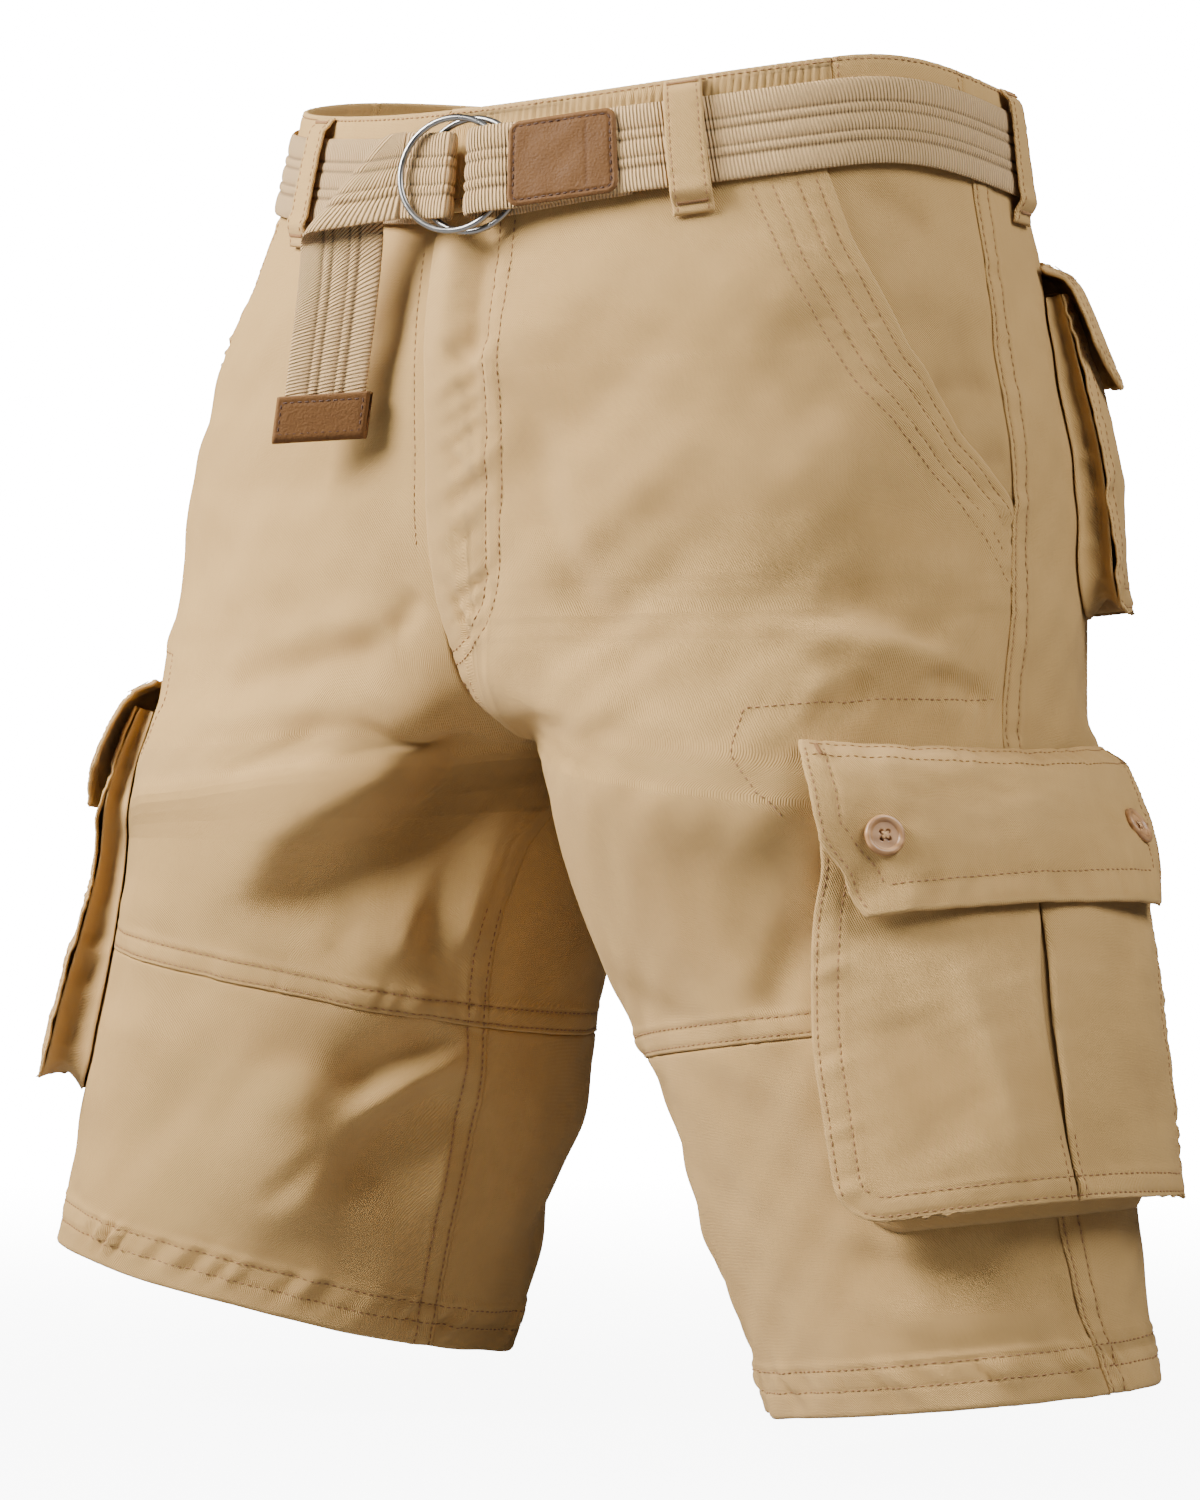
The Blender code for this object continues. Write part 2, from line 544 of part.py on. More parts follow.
def tail_point(s, w, lift):
    """Where a point of the flat strap lies: s along it, w up across it, lift out of its face."""
    s, w, lift = np.broadcast_arrays(*(np.asarray(v, float) for v in (s, w, lift)))
    start = by_belt(STRAP_OUT[-1][0] - GAP - 0.0002, STRAP_OUT[-1][1] + 0.0001, 0.0)
    _, along, out, up = (v[0] for v in belt_frame(np.array([STRAP_OUT[-1][0]])))
    level = out * np.sin(STRAP_FLARE) - along * np.cos(STRAP_FLARE)
    face = out * np.cos(STRAP_FLARE) + along * np.sin(STRAP_FLARE)
    way = level * np.cos(STRAP_FALL) - up * np.sin(STRAP_FALL)
    wide = level * np.sin(STRAP_FALL) + up * np.cos(STRAP_FALL)
    crease = np.array([-np.cos(CREASE_ANGLE), np.sin(CREASE_ANGLE)])
    beyond = np.array([np.sin(CREASE_ANGLE), np.cos(CREASE_ANGLE)])
    foot = np.array([CREASE_FOOT, -BELT_WIDTH / 2])
    flat = np.stack([s, w], -1) - foot
    l, q = flat @ crease, flat @ beyond
    bend = np.clip(q / CREASE_RADIUS, 0, np.pi)
    ahead = (np.minimum(q, 0) + (CREASE_RADIUS + lift) * np.sin(bend)
             - np.maximum(q - np.pi * CREASE_RADIUS, 0))
    rise = (CREASE_RADIUS + lift) * np.cos(bend) - CREASE_RADIUS
    plane = foot + l[..., None] * crease + ahead[..., None] * beyond
    drop = np.maximum(-plane[..., 1] - BELT_WIDTH / 2, 0)
    ease = (drop ** 2 / (drop + 0.02) * np.clip(q / (np.pi * CREASE_RADIUS), 0, 1))[..., None]
    return (start + plane[..., :1] * way + plane[..., 1:] * wide + rise[..., None] * face
            + way * TAIL_SWING * ease - face * TAIL_SINK * ease)


# Cuts through the strap as (place on its lower edge, place on its upper edge): upright at the rings,
# along the crease through the bend, and square to the strap at its end
edge = BELT_WIDTH / 2 * np.tan(STRAP_FALL)
turned = np.pi * CREASE_RADIUS / np.sin(CREASE_ANGLE)
upper = CREASE_FOOT - BELT_WIDTH / np.tan(CREASE_ANGLE)
CUTS = ((edge, -edge, 0), (CREASE_FOOT, upper, 4), (CREASE_FOOT + turned, upper + turned, 6),
        (.084, .078, 5), (TAIL_LENGTH, TAIL_LENGTH, 3))
cuts = [np.array(CUTS[:1])[:, :2]]
for (low0, high0, _), (low1, high1, steps) in zip(CUTS[:-1], CUTS[1:]):
    part = np.linspace(0, 1, steps + 1)[1:, None]
    cuts.append(np.array([[low0, high0]]) * (1 - part) + np.array([[low1, high1]]) * part)
cuts = np.concatenate(cuts)
tail = np.concatenate([outline[:last], outline[:last][::-1] * (1, -1)])     # ribbed on both faces
tail_cap = [(2 * last - 1 - i, i, i + 1) for i in range(last - 1)]
tail_cap += [(2 * last - 1 - i, i + 1, 2 * last - 2 - i) for i in range(last - 1)]
share = (tail[:, 0] + BELT_WIDTH / 2) / BELT_WIDTH
along_strap = cuts[:, :1] + (cuts[:, 1:] - cuts[:, :1]) * share[None]
run("belt_tail", tail_point(along_strap, tail[None, :, 0], tail[None, :, 1]), "webbing",
    cap=tail_cap)


def belt_tip():
    """Leather folded round the end of the webbing."""
    cover, leather, wide = 0.0165, 0.0010, BELT_WIDTH / 2 + 0.0026
    near, far = TAIL_LENGTH - cover, TAIL_LENGTH + GAP
    gap = WEB / 2 + GAP
    shape = np.array([(near, gap), (far, gap), (far, -gap), (near, -gap), (near, -gap - leather),
                      (far + leather, -gap - leather), (far + leather, gap + leather), (near, gap + leather)])
    across = np.linspace(-wide, wide, 6)
    rings = tail_point(shape[None, :, 0], across[:, None], shape[None, :, 1])
    run("belt_tip", rings, "leather",
        cap=((0, 1, 6), (0, 6, 7), (1, 2, 5), (1, 5, 6), (2, 3, 4), (2, 4, 5)))


belt_tip()


def leather_patch():
    """Rounded leather patch on the sewn end of the belt."""
    start, end, half, radius = .0405, .0845, 0.0172, 0.005
    line = smooth_line(END_FRONT, .009)
    steps = (0, .12, .45, 1)
    arc = np.r_[[start + radius * a for a in steps], np.linspace(start + radius, end - radius, 6)[1:-1],
                [end - radius * a for a in steps[::-1]]]
    near = np.minimum(arc - start, end - arc)
    corner = radius - np.sqrt(np.maximum(radius ** 2 - np.maximum(radius - near, 0) ** 2, 0))
    across = np.linspace(-1, 1, 5)[None] * (half - corner)[:, None]
    rest = np.interp(arc, line[:, 0], line[:, 1])[:, None] + WEB / 2 + GAP * 2
    grids = [by_belt(arc[:, None], rest + lift, across) for lift in (0.0012, 0.0)]
    slab("leather_patch", grids[0], grids[1], "leather")


leather_patch()


# Rings: where the centre is along and out from the belt, and how far its left side turns outward
RINGS = {"ring_outer": (.0160, .0146, 17), "ring_inner": (.0206, .0090, 11)}


def ring(name, arc, out, swing):
    turn = np.linspace(0, 2 * np.pi, 28, endpoint=False)[:, None]
    tube = np.linspace(0, 2 * np.pi, 6, endpoint=False)[None]
    swing = np.radians(swing)
    radius = RING_RADIUS + WIRE * np.cos(tube)
    flat, height, lift = radius * np.cos(turn), radius * np.sin(turn), WIRE * np.sin(tube) + 0 * turn
    along = flat * np.cos(swing) + lift * np.sin(swing)
    away = lift * np.cos(swing) - flat * np.sin(swing)
    point, way, outward_, up = (v[0] for v in belt_frame(np.array([arc])))
    rings = (point + (away + out)[..., None] * outward_ + along[..., None] * way
             + (height + sag(arc))[..., None] * up)
    run(name, rings, "steel", closed=True)


for name, (arc, out, swing) in RINGS.items():
    ring(name, arc, out, swing)


# Bellows pockets

POCKETS = {
    # middle behind the side seam, half width, top and bottom down the side, corner radius,
    # stand-off at the top and bottom, flap top and bottom, flap half width
    "cargo_left": dict(side="left", middle=-.005, half=.080, top=.287, bottom=.459, corner=.018,
                       high=.0080, low=.0210, flap=(.272, .336), flap_half=.084),
    "cargo_right": dict(side="right", middle=-.005, half=.080, top=.285, bottom=.457, corner=.018,
                        high=.0080, low=.0210, flap=(.270, .334), flap_half=.084),
    "back_left": dict(side="left", middle=.134, half=.072, top=.087, bottom=.218, corner=.016,
                      high=.0090, low=.0170, flap=(.073, .131), flap_half=.075),
    "back_right": dict(side="right", middle=.130, half=.072, top=.096, bottom=.228, corner=.016,
                       high=.0090, low=.0170, flap=(.082, .140), flap_half=.075),
}
PLEAT_OPEN = 0.0030     # widest parting of the pleat on the face of a cargo pocket


def stand_off(p, distance, across):
    """Height of the pocket's face over the skin: it grows to the bottom and swells in the middle."""
    fall = np.clip((distance - p["top"]) / (p["bottom"] - p["top"]), 0, 1)
    middle = np.clip(1 - ((across - p["middle"]) / p["half"]) ** 2, 0, 1)
    return p["high"] + (p["low"] - p["high"]) * fall ** 0.8 + 0.004 * middle * np.sin(np.pi * fall ** 0.7)


def half_width(p, distance):
    """Half width of the face at each height, with rounded lower corners."""
    below = np.clip(distance - (p["bottom"] - p["corner"]), 0, p["corner"])
    return p["half"] - p["corner"] + np.sqrt(p["corner"] ** 2 - below ** 2)


def on_pocket(p, distance, across, out):
    return stand(p["side"], *spread(p["side"], distance, across), out)


def pocket_rows(p):
    foot = p["bottom"] - p["corner"]
    return np.r_[np.linspace(p["top"], foot, 6), foot + p["corner"] * np.array([.4, .72, .93, 1.0])]


def pocket_face(name, p, start, end, across, pleat=0.0):
    """Part of the face between two shares of its half width (-1 front edge, 1 back edge)."""
    distance = pocket_rows(p)[:, None]
    share = np.linspace(start, end, across)[None]
    place = p["middle"] + share * half_width(p, distance)
    fall = np.clip((distance - p["top"] - 0.03) / (p["bottom"] - p["top"] - 0.09), 0, 1)
    part = GAP / 2 + (pleat / 2 - GAP / 2) * np.sin(np.pi * fall)
    place = place + part * ((share == 0) & (pleat > 0)) * (1 if start == 0 else -1)
    out = stand_off(p, distance, place)
    slab(name, on_pocket(p, distance, place, out), on_pocket(p, distance, place, out - CLOTH), "twill")


def pleat_underlay(name, p):
    """Strip that shows dark in the open pleat, behind the two halves of the face."""
    distance = np.r_[p["top"] + 0.005, pocket_rows(p)[1:6]][:, None]
    place = p["middle"] + np.linspace(-0.013, 0.013, 4)[None] + 0 * distance
    out = stand_off(p, distance, place) - CLOTH - UNDER * 1.5
    slab(name, on_pocket(p, distance, place, out), on_pocket(p, distance, place, out - 0.0012), "twill")


def pocket_path(p, columns):
    """Edge of the face down its front, along its foot and up its back, with inward directions."""
    half, corner, rows = p["half"], p["corner"], pocket_rows(p)
    lean = np.arcsin(np.clip((rows - p["bottom"] + corner) / corner, 0, 1))
    front = np.stack([rows, -half_width(p, rows)], -1)
    inward = np.stack([-np.sin(lean), np.cos(lean)], -1)
    foot = np.linspace(-1, 1, columns)[1:-1] * (half - corner)
    foot = np.stack([0 * foot + p["bottom"], foot], -1)
    mirror = np.array([1, -1])
    points = np.concatenate([front, foot, front[::-1] * mirror])
    return points, np.concatenate([inward, 0 * foot + (-1, 0), inward[::-1] * mirror])


GUSSET_FOLD = 0.0060    # how far the bellows runs in under the face
GUSSET_WALL = 0.0012


def gusset(name, p, columns):
    """Bellows round three sides: it runs in from the leg to a fold and back out to the face."""
    points, inward = pocket_path(p, columns)
    top = stand_off(p, points[:, 0], p["middle"] + points[:, 1]) - CLOTH - UNDER
    foot = 0 * top + {"cargo_left": 0.0016, "cargo_right": 0.0018}.get(name[:-7], 0.0015)
    fold, wall, depth = (top + foot) / 2, GUSSET_WALL, GUSSET_FOLD
    # (how far in, how high) round one cut
    outline = ((.0006, foot), (depth, fold - wall / 2), (.0006, top - wall), (.0006, top),
               (wall + .0006, top), (depth + wall * 1.4, fold), (wall * 1.8, foot))
    rings = np.stack([np.concatenate([points + inward * far, high[:, None]], 1) for far, high in outline], 1)
    run(name, on_pocket(p, rings[..., 0], p["middle"] + rings[..., 1], rings[..., 2]), "twill",
        cap=((0, 1, 6), (1, 5, 6), (1, 2, 5), (2, 4, 5), (2, 3, 4)))


def flap_out(p, distance):
    """Inner face of the flap over the skin: sewn down at its top, it rises over the pocket."""
    top, bottom = p["flap"]
    fall = distance - top
    line = np.array(((0, 0.0009), (.003, .0036), (.008, p["high"] + .0009), (.014, p["high"] + .0036),
                     (.030, p["high"] + .0074), (bottom - top, p["high"] + .0120)))
    return np.interp(fall, line[:, 0], line[:, 1])


def flap(name, p):
    """Doubled flap with cut-off lower corners."""
    top, bottom = p["flap"]
    cut = 0.017
    distance = np.array([top, top + .003, top + .008, top + .014, top + .025, bottom - .027, bottom - cut,
                         bottom - cut * 0.5, bottom])[:, None]
    wide = p["flap_half"] - np.clip(distance - (bottom - cut), 0, cut) * 0.8
    place = p["middle"] + np.linspace(-1, 1, 11)[None] * wide
    out = flap_out(p, distance) + 0 * place
    slab(name, on_pocket(p, distance, place, out + 0.0020), on_pocket(p, distance, place, out), "twill")


def button(name, p, across):
    """Round sewing button with a raised rim."""
    distance = p["flap"][1] - 0.021
    out = float(flap_out(p, distance)) + 0.0016
    e = 0.002
    centre = on_pocket(p, distance, p["middle"] + across, np.array(out))
    right = on_pocket(p, distance, p["middle"] + across + e, np.array(out)) - centre
    fall = on_pocket(p, distance + e, p["middle"] + across, np.array(float(flap_out(p, distance + e)) + .0016)) - centre
    right /= np.linalg.norm(right)
    axis = np.cross(right, fall)
    axis *= SIGN[p["side"]] * -1 / np.linalg.norm(axis)
    fall = np.cross(axis, right)
    profile = np.array(((.0062, .0008), (.0078, .0012), (.0080, .0022), (.0074, .0031), (.0062, .0031),
                        (.0052, .0022)))
    turn = np.linspace(0, 2 * np.pi, 16, endpoint=False)
    ring_dirs = np.cos(turn)[:, None] * right + np.sin(turn)[:, None] * fall
    rings = centre + profile[:, 0][:, None, None] * ring_dirs[None] + profile[:, 1][:, None, None] * axis
    run(name, rings, "button")


for name, p in POCKETS.items():
    if name.startswith("cargo"):
        pocket_face(f"{name}_face_front", p, -1, 0, 6, PLEAT_OPEN)
        pocket_face(f"{name}_face_back", p, 0, 1, 6, PLEAT_OPEN)
        pleat_underlay(f"{name}_pleat", p)
        for place, across in (("front", -0.060), ("back", 0.060)):
            button(f"{name}_button_{place}", p, across)
    else:
        pocket_face(f"{name}_face", p, -1, 1, 11)
    gusset(f"{name}_gusset", p, 11)
    flap(f"{name}_flap", p)
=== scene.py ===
import bpy
import numpy as np
from mathutils import Matrix


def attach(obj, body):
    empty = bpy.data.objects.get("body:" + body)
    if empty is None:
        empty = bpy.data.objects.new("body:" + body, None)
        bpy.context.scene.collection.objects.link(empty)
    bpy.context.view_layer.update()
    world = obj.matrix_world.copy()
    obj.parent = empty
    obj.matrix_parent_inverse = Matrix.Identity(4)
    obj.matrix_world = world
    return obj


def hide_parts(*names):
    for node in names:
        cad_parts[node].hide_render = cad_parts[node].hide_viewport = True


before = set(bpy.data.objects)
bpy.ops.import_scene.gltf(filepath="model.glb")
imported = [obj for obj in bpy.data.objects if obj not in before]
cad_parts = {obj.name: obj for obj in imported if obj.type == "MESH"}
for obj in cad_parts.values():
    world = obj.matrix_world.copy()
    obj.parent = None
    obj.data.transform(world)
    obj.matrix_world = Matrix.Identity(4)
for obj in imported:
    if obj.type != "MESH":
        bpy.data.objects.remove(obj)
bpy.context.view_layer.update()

print("cargo shorts: frame loaded")

# Camera

cameraSettings = dict(azimuth=42, elevation=0, roll=.6, distance=2.0, target=(-.0163, -.0147, -.270), lens=114)


def makeCamera(s):
    a, e, r = (np.radians(s[k]) for k in ("azimuth", "elevation", "roll"))
    back = np.array([np.sin(a) * np.cos(e), -np.cos(a) * np.cos(e), np.sin(e)])
    level = np.array([np.cos(a), np.sin(a), 0])
    over = np.cross(back, level)
    right, up = level * np.cos(r) + over * np.sin(r), over * np.cos(r) - level * np.sin(r)
    data = bpy.data.cameras.new("camera")
    data.sensor_fit, data.sensor_height, data.lens = "VERTICAL", 36, s["lens"]
    data.clip_start = .05
    camera = bpy.data.objects.new("camera", data)
    bpy.context.scene.collection.objects.link(camera)
    place = Matrix.Identity(4)
    for i, axis in enumerate((right, up, back, np.array(s["target"]) + s["distance"] * back)):
        for k in range(3):
            place[k][i] = float(axis[k])
    camera.matrix_world = place
    bpy.context.scene.camera = camera


makeCamera(cameraSettings)

# Form of the worn cloth: one row for each cross-section of half the shorts

sectionColumns = ("z", "outer", "inner", "front", "back", "y", "wrap", "tilt", "pitch", "turn",
                  "corner", "rise", "outseam", "inseam")
trunk = (
    (.000, .163, .000, .126, .118, .000, 90, 0, 6, 0, .03, .012, .490, .000),    # top edge of the waist
    (-.042, .169, .000, .130, .122, .000, 90, 0, 6, 0, .04, .012, .490, .000),   # waist seam
    (-.100, .180, .000, .139, .134, .002, 90, 0, 5, 0, .06, .008, .487, .000),
    (-.160, .190, .000, .140, .143, .004, 94, 0, 4, 0, .07, .004, .485, .000),
    (-.212, .194, .000, .132, .142, .000, 106, 1, 2, 0, .06, .000, .485, .000),
    (-.244, .196, .000, .128, .139, -.006, 122, 0, 0, 0, .04, .000, .485, .000),
    (-.266, .2015, .000, .127, .135, -.010, 146, -2.5, 0, 0, .02, .000, .485, .000),
    (-.284, .211, .000, .125, .132, -.013, 180, -8.2, 0, 0, .01, .000, .483, .000),  # crotch
)
legs = {
    "left": (
        (-.307, .217, .007, .118, .124, -.016, 180, -3, 0, 7, 0, 0, .480, .005),
        (-.342, .224, .029, .103, .110, -.018, 180, 7, 0, 22, 0, 0, .470, .000),
        (-.404, .250, .048, .089, .092, -.022, 180, 8, 0, 34, 0, 0, .455, -.012),
        (-.462, .271, .069, .082, .080, -.025, 180, 8, 0, 38, 0, 0, .452, -.018),
        (-.521, .290, .091, .077, .075, -.027, 180, 8, 0, 40, 0, 0, .470, -.010),  # hem
    ),
    "right": (
        (-.306, .217, .007, .119, .125, -.016, 180, -3, -2, 7, 0, 0, .495, .030),
        (-.337, .224, .020, .105, .115, -.018, 180, 8, -4, 22, 0, 0, .500, .040),
        (-.394, .249, .037, .090, .094, -.022, 180, 8, -6, 34, 0, 0, .500, .035),
        (-.450, .268, .062, .083, .084, -.025, 180, 9, -8, 38, 0, 0, .495, .028),
        (-.507, .287, .086, .078, .076, -.027, 180, 10, -8, 40, 0, 0, .490, .020),
    ),
}
legStep = (  # the right leg steps out and forward
    (0, 0), (.004, .002), (.020, .010), (.027, .016), (.025, .018), (.0200, .0220), (.0155, .0250),
    (.0065, .0275), (.0020, .0290), (-.002, .030), (-.015, .031), (-.022, .031), (-.027, .030),
)
sign = {"left": 1, "right": -1}
riseShare = {"left": (1.0, -.5), "right": (1.4, 1.4)}     # share of the rise at the front and at the back
lastRow = len(trunk) + len(legs["left"]) - 1
seamGap = .0003

# Folds from one end (down the side, round from the side line) to the other: bow of the line, height
# (below zero for a trough), half width, and how much steeper its lower side is
foldColumns = ("down0", "round0", "down1", "round1", "bow", "height", "width", "skew")
folds = {
    "left": (
        (.205, -.100, .226, -.008, .004, -.0012, .007, 0),
        (.310, .140, .380, .245, .006, -.0060, .018, .2),
        (.296, .150, .360, .252, .006, .0024, .010, 0),
        (.180, .150, .240, .262, -.006, -.0045, .016, .2),
        (.172, .190, .222, .272, -.004, .0016, .009, 0),
        (.258, .060, .262, .190, -.006, -.0024, .009, .3),
        (.270, .085, .276, .170, .004, .0013, .007, 0),
        (.376, -.230, .470, -.130, .008, .0018, .014, 0),
        (.350, -.240, .400, -.120, .005, -.0014, .010, 0),
        (.420, .180, .490, .250, .004, -.0035, .014, .2),
        (.400, .100, .500, .160, .004, .0018, .014, 0),
        (.440, .110, .520, .200, -.004, -.0020, .012, .1),
        (.080, .120, .100, .230, .003, -.0015, .012, 0),
    ),
    "right": (
        (.236, -.230, .286, -.120, .004, -.0022, .012, .1),
        (.200, -.190, .240, -.090, .006, -.0016, .014, 0),
        (.420, -.200, .500, -.120, .006, -.0022, .014, .2),
        (.310, .140, .380, .245, .006, -.0060, .018, .2),
        (.296, .150, .360, .252, .006, .0024, .010, 0),
        (.180, .150, .240, .262, -.006, -.0045, .016, .2),
        (.420, .180, .490, .250, .004, -.0035, .014, .2),
        (.400, .100, .500, .160, .004, .0018, .014, 0),
        (.250, .060, .256, .190, -.006, -.0024, .009, .3),
        (.085, .110, .105, .225, .003, -.0015, .012, 0),
    ),
}
# unevenness of the cloth between its folds
drape = dict(broad=.0013, broadSize=.085, fine=.00042, fineSize=.030)


def ease(x, low=0.0, high=1.0):
    x = np.clip((x - low) / (high - low), 0, 1)
    return x * x * (3 - 2 * x)


def bell(x, wide):
    # 1 at zero and falling to both sides, 1/e at this width
    return np.exp(-(x / wide) ** 2)


def through(values, at):
    # cubic through equally spaced rows, its slope the harmonic mean of its neighbours' so it never overshoots
    values, at = np.asarray(values, float), np.asarray(at, float)
    step = np.diff(values, axis=0)
    slope = np.empty_like(values)
    slope[0], slope[-1] = step[0], step[-1]
    product, total = step[1:] * step[:-1], step[1:] + step[:-1]
    slope[1:-1] = np.where(product > 0, 2 * product / np.where(total == 0, 1, total), 0)
    row = np.clip(np.floor(at).astype(int), 0, len(values) - 2)
    part = (at - row)[..., None]
    a, b, c, d = values[row], values[row + 1], slope[row], slope[row + 1]
    return (a * (1 + 2 * part) * (1 - part) ** 2 + c * part * (1 - part) ** 2
            + b * part ** 2 * (3 - 2 * part) + d * part ** 2 * (part - 1))


def smoothPath(points, count=60):
    return through(points, np.linspace(0, len(points) - 1, count))


def cumulative(points):
    # metres from the first point of a line to each of its points
    return np.r_[0, np.cumsum(np.linalg.norm(np.diff(points, axis=0), axis=1))]


def evenly(points, count):
    # the same line, as so many points at equal steps
    step = cumulative(points)
    at = np.linspace(0, step[-1], count)
    return np.stack([np.interp(at, step, values) for values in np.asarray(points).T], -1)


def section(side, t):
    values = through(trunk + legs[side], t)
    return {name: values[..., i] for i, name in enumerate(sectionColumns)}


def base(side, t, u):
    # oval section: across = width * cos, along = depth * sin of the angle round it; t counts sections
    # down, u goes from the centre front (0) round the side (0.5) to the centre back (1)
    t, u = np.broadcast_arrays(np.asarray(t, float), np.asarray(u, float))
    s = section(side, t)
    wrap, tilt, pitch, turn = (np.radians(s[name]) for name in ("wrap", "tilt", "pitch", "turn"))
    wide = (s["outer"] - s["inner"]) / (1 - np.cos(wrap))
    axis = s["inner"] - wide * np.cos(wrap) * np.cos(tilt)
    angle = (2 * u - 1) * wrap
    at = angle + turn
    deep = (s["front"] + s["back"]) / 2 + (s["back"] - s["front"]) / 2 * np.sin(at)
    full = 1 + s["corner"] * np.sin(2 * angle) ** 2 * ((angle < 0) & (angle > -np.pi / 2))
    across, along = wide * np.cos(at) * full, deep * np.sin(at) * full
    out = across * np.cos(turn) + along * np.sin(turn)
    back = along * np.cos(turn) - across * np.sin(turn)
    fore, aft = riseShare[side]
    lift = s["rise"] * (fore + (aft - fore) * ease(u, .34, .62)) * np.cos(angle) ** 2
    xyz = np.stack([axis + out * np.cos(tilt), s["y"] + back * np.cos(pitch),
                    s["z"] + lift + out * np.sin(tilt) + back * np.sin(pitch)], -1)
    if side == "right":
        own = ease(t, 7, 9)
        share = np.sin(np.pi * u) ** 2 * (1 - own) + own
        step = through(legStep, t)
        xyz[..., 0] += step[..., 0] * share
        xyz[..., 1] -= step[..., 1] * share
    xyz[..., 0] *= sign[side]
    return xyz


fineRows = np.linspace(0, lastRow, 481)
girths, downs = {}, {}
for side in sign:
    rings = base(side, fineRows[:, None], np.linspace(0, 1, 161)[None])
    girths[side] = np.linalg.norm(np.diff(rings, axis=1), axis=2).sum(1)
    line = base(side, fineRows, 0.5)
    downs[side] = cumulative(line)


def girth(side, t):
    return np.interp(t, fineRows, girths[side])


def down(side, t):
    return np.interp(t, fineRows, downs[side])


def rowAt(side, distance):
    return np.interp(distance, downs[side], fineRows)


def spread(side, distance, across):
    # (t, u) of a point so far down the side and behind (+) or before (-) the side seam
    t = rowAt(side, distance)
    return t, section(side, t)["outseam"] + across / girth(side, t)


def soft(x, y, size, seed):
    # sum of a few slow waves in seeded directions, about -1 to 1
    rng = np.random.default_rng(seed)
    total = np.zeros(np.broadcast(x, y).shape)
    ranges = ((0, 2 * np.pi), (.6, 1.5), (0, 6.3))
    turns, numbers, phases = (rng.uniform(low, high, 8) for low, high in ranges)
    for turn, number, phase in zip(turns, numbers, phases):
        total += np.sin((x * np.cos(turn) + y * np.sin(turn)) * 2 * np.pi * number / size + phase)
    return total / 2.6


def ripple(x, pitch, seed):
    # uneven wave along a line
    rng = np.random.default_rng(seed)
    a, b, c, d = rng.uniform(0, 6.3, 4)
    sway = x + .35 * pitch * np.sin(2 * np.pi * x / (pitch * 5.3) + a)
    return (np.sin(2 * np.pi * sway / pitch + b) * (.75 + .35 * np.sin(2 * np.pi * x / (pitch * 3.7) + c))
            + .35 * np.sin(2 * np.pi * sway / (pitch * 1.63) + d))


def foldLines(table, far, turn):
    # each fold: height * ends * exp(-(distance from its bowed line / width)^2)
    height = np.zeros(np.broadcast(far, turn).shape)
    for values in table:
        f = dict(zip(foldColumns, values))
        start, end = np.array([f["down0"], f["round0"]]), np.array([f["down1"], f["round1"]])
        length = np.linalg.norm(end - start)
        way = (end - start) / length
        along = ((far - start[0]) * way[0] + (turn - start[1]) * way[1]) / length
        aside = (turn - start[1]) * way[0] - (far - start[0]) * way[1]
        aside = aside - f["bow"] * 4 * np.clip(along, 0, 1) * (1 - np.clip(along, 0, 1))
        ends = ease(np.minimum(along, 1 - along) / 0.3 + 0.25)
        wide = f["width"] * np.where(aside < 0, 1 - f["skew"], 1 + f["skew"])
        height += f["height"] * ends * bell(aside, wide)
    return height


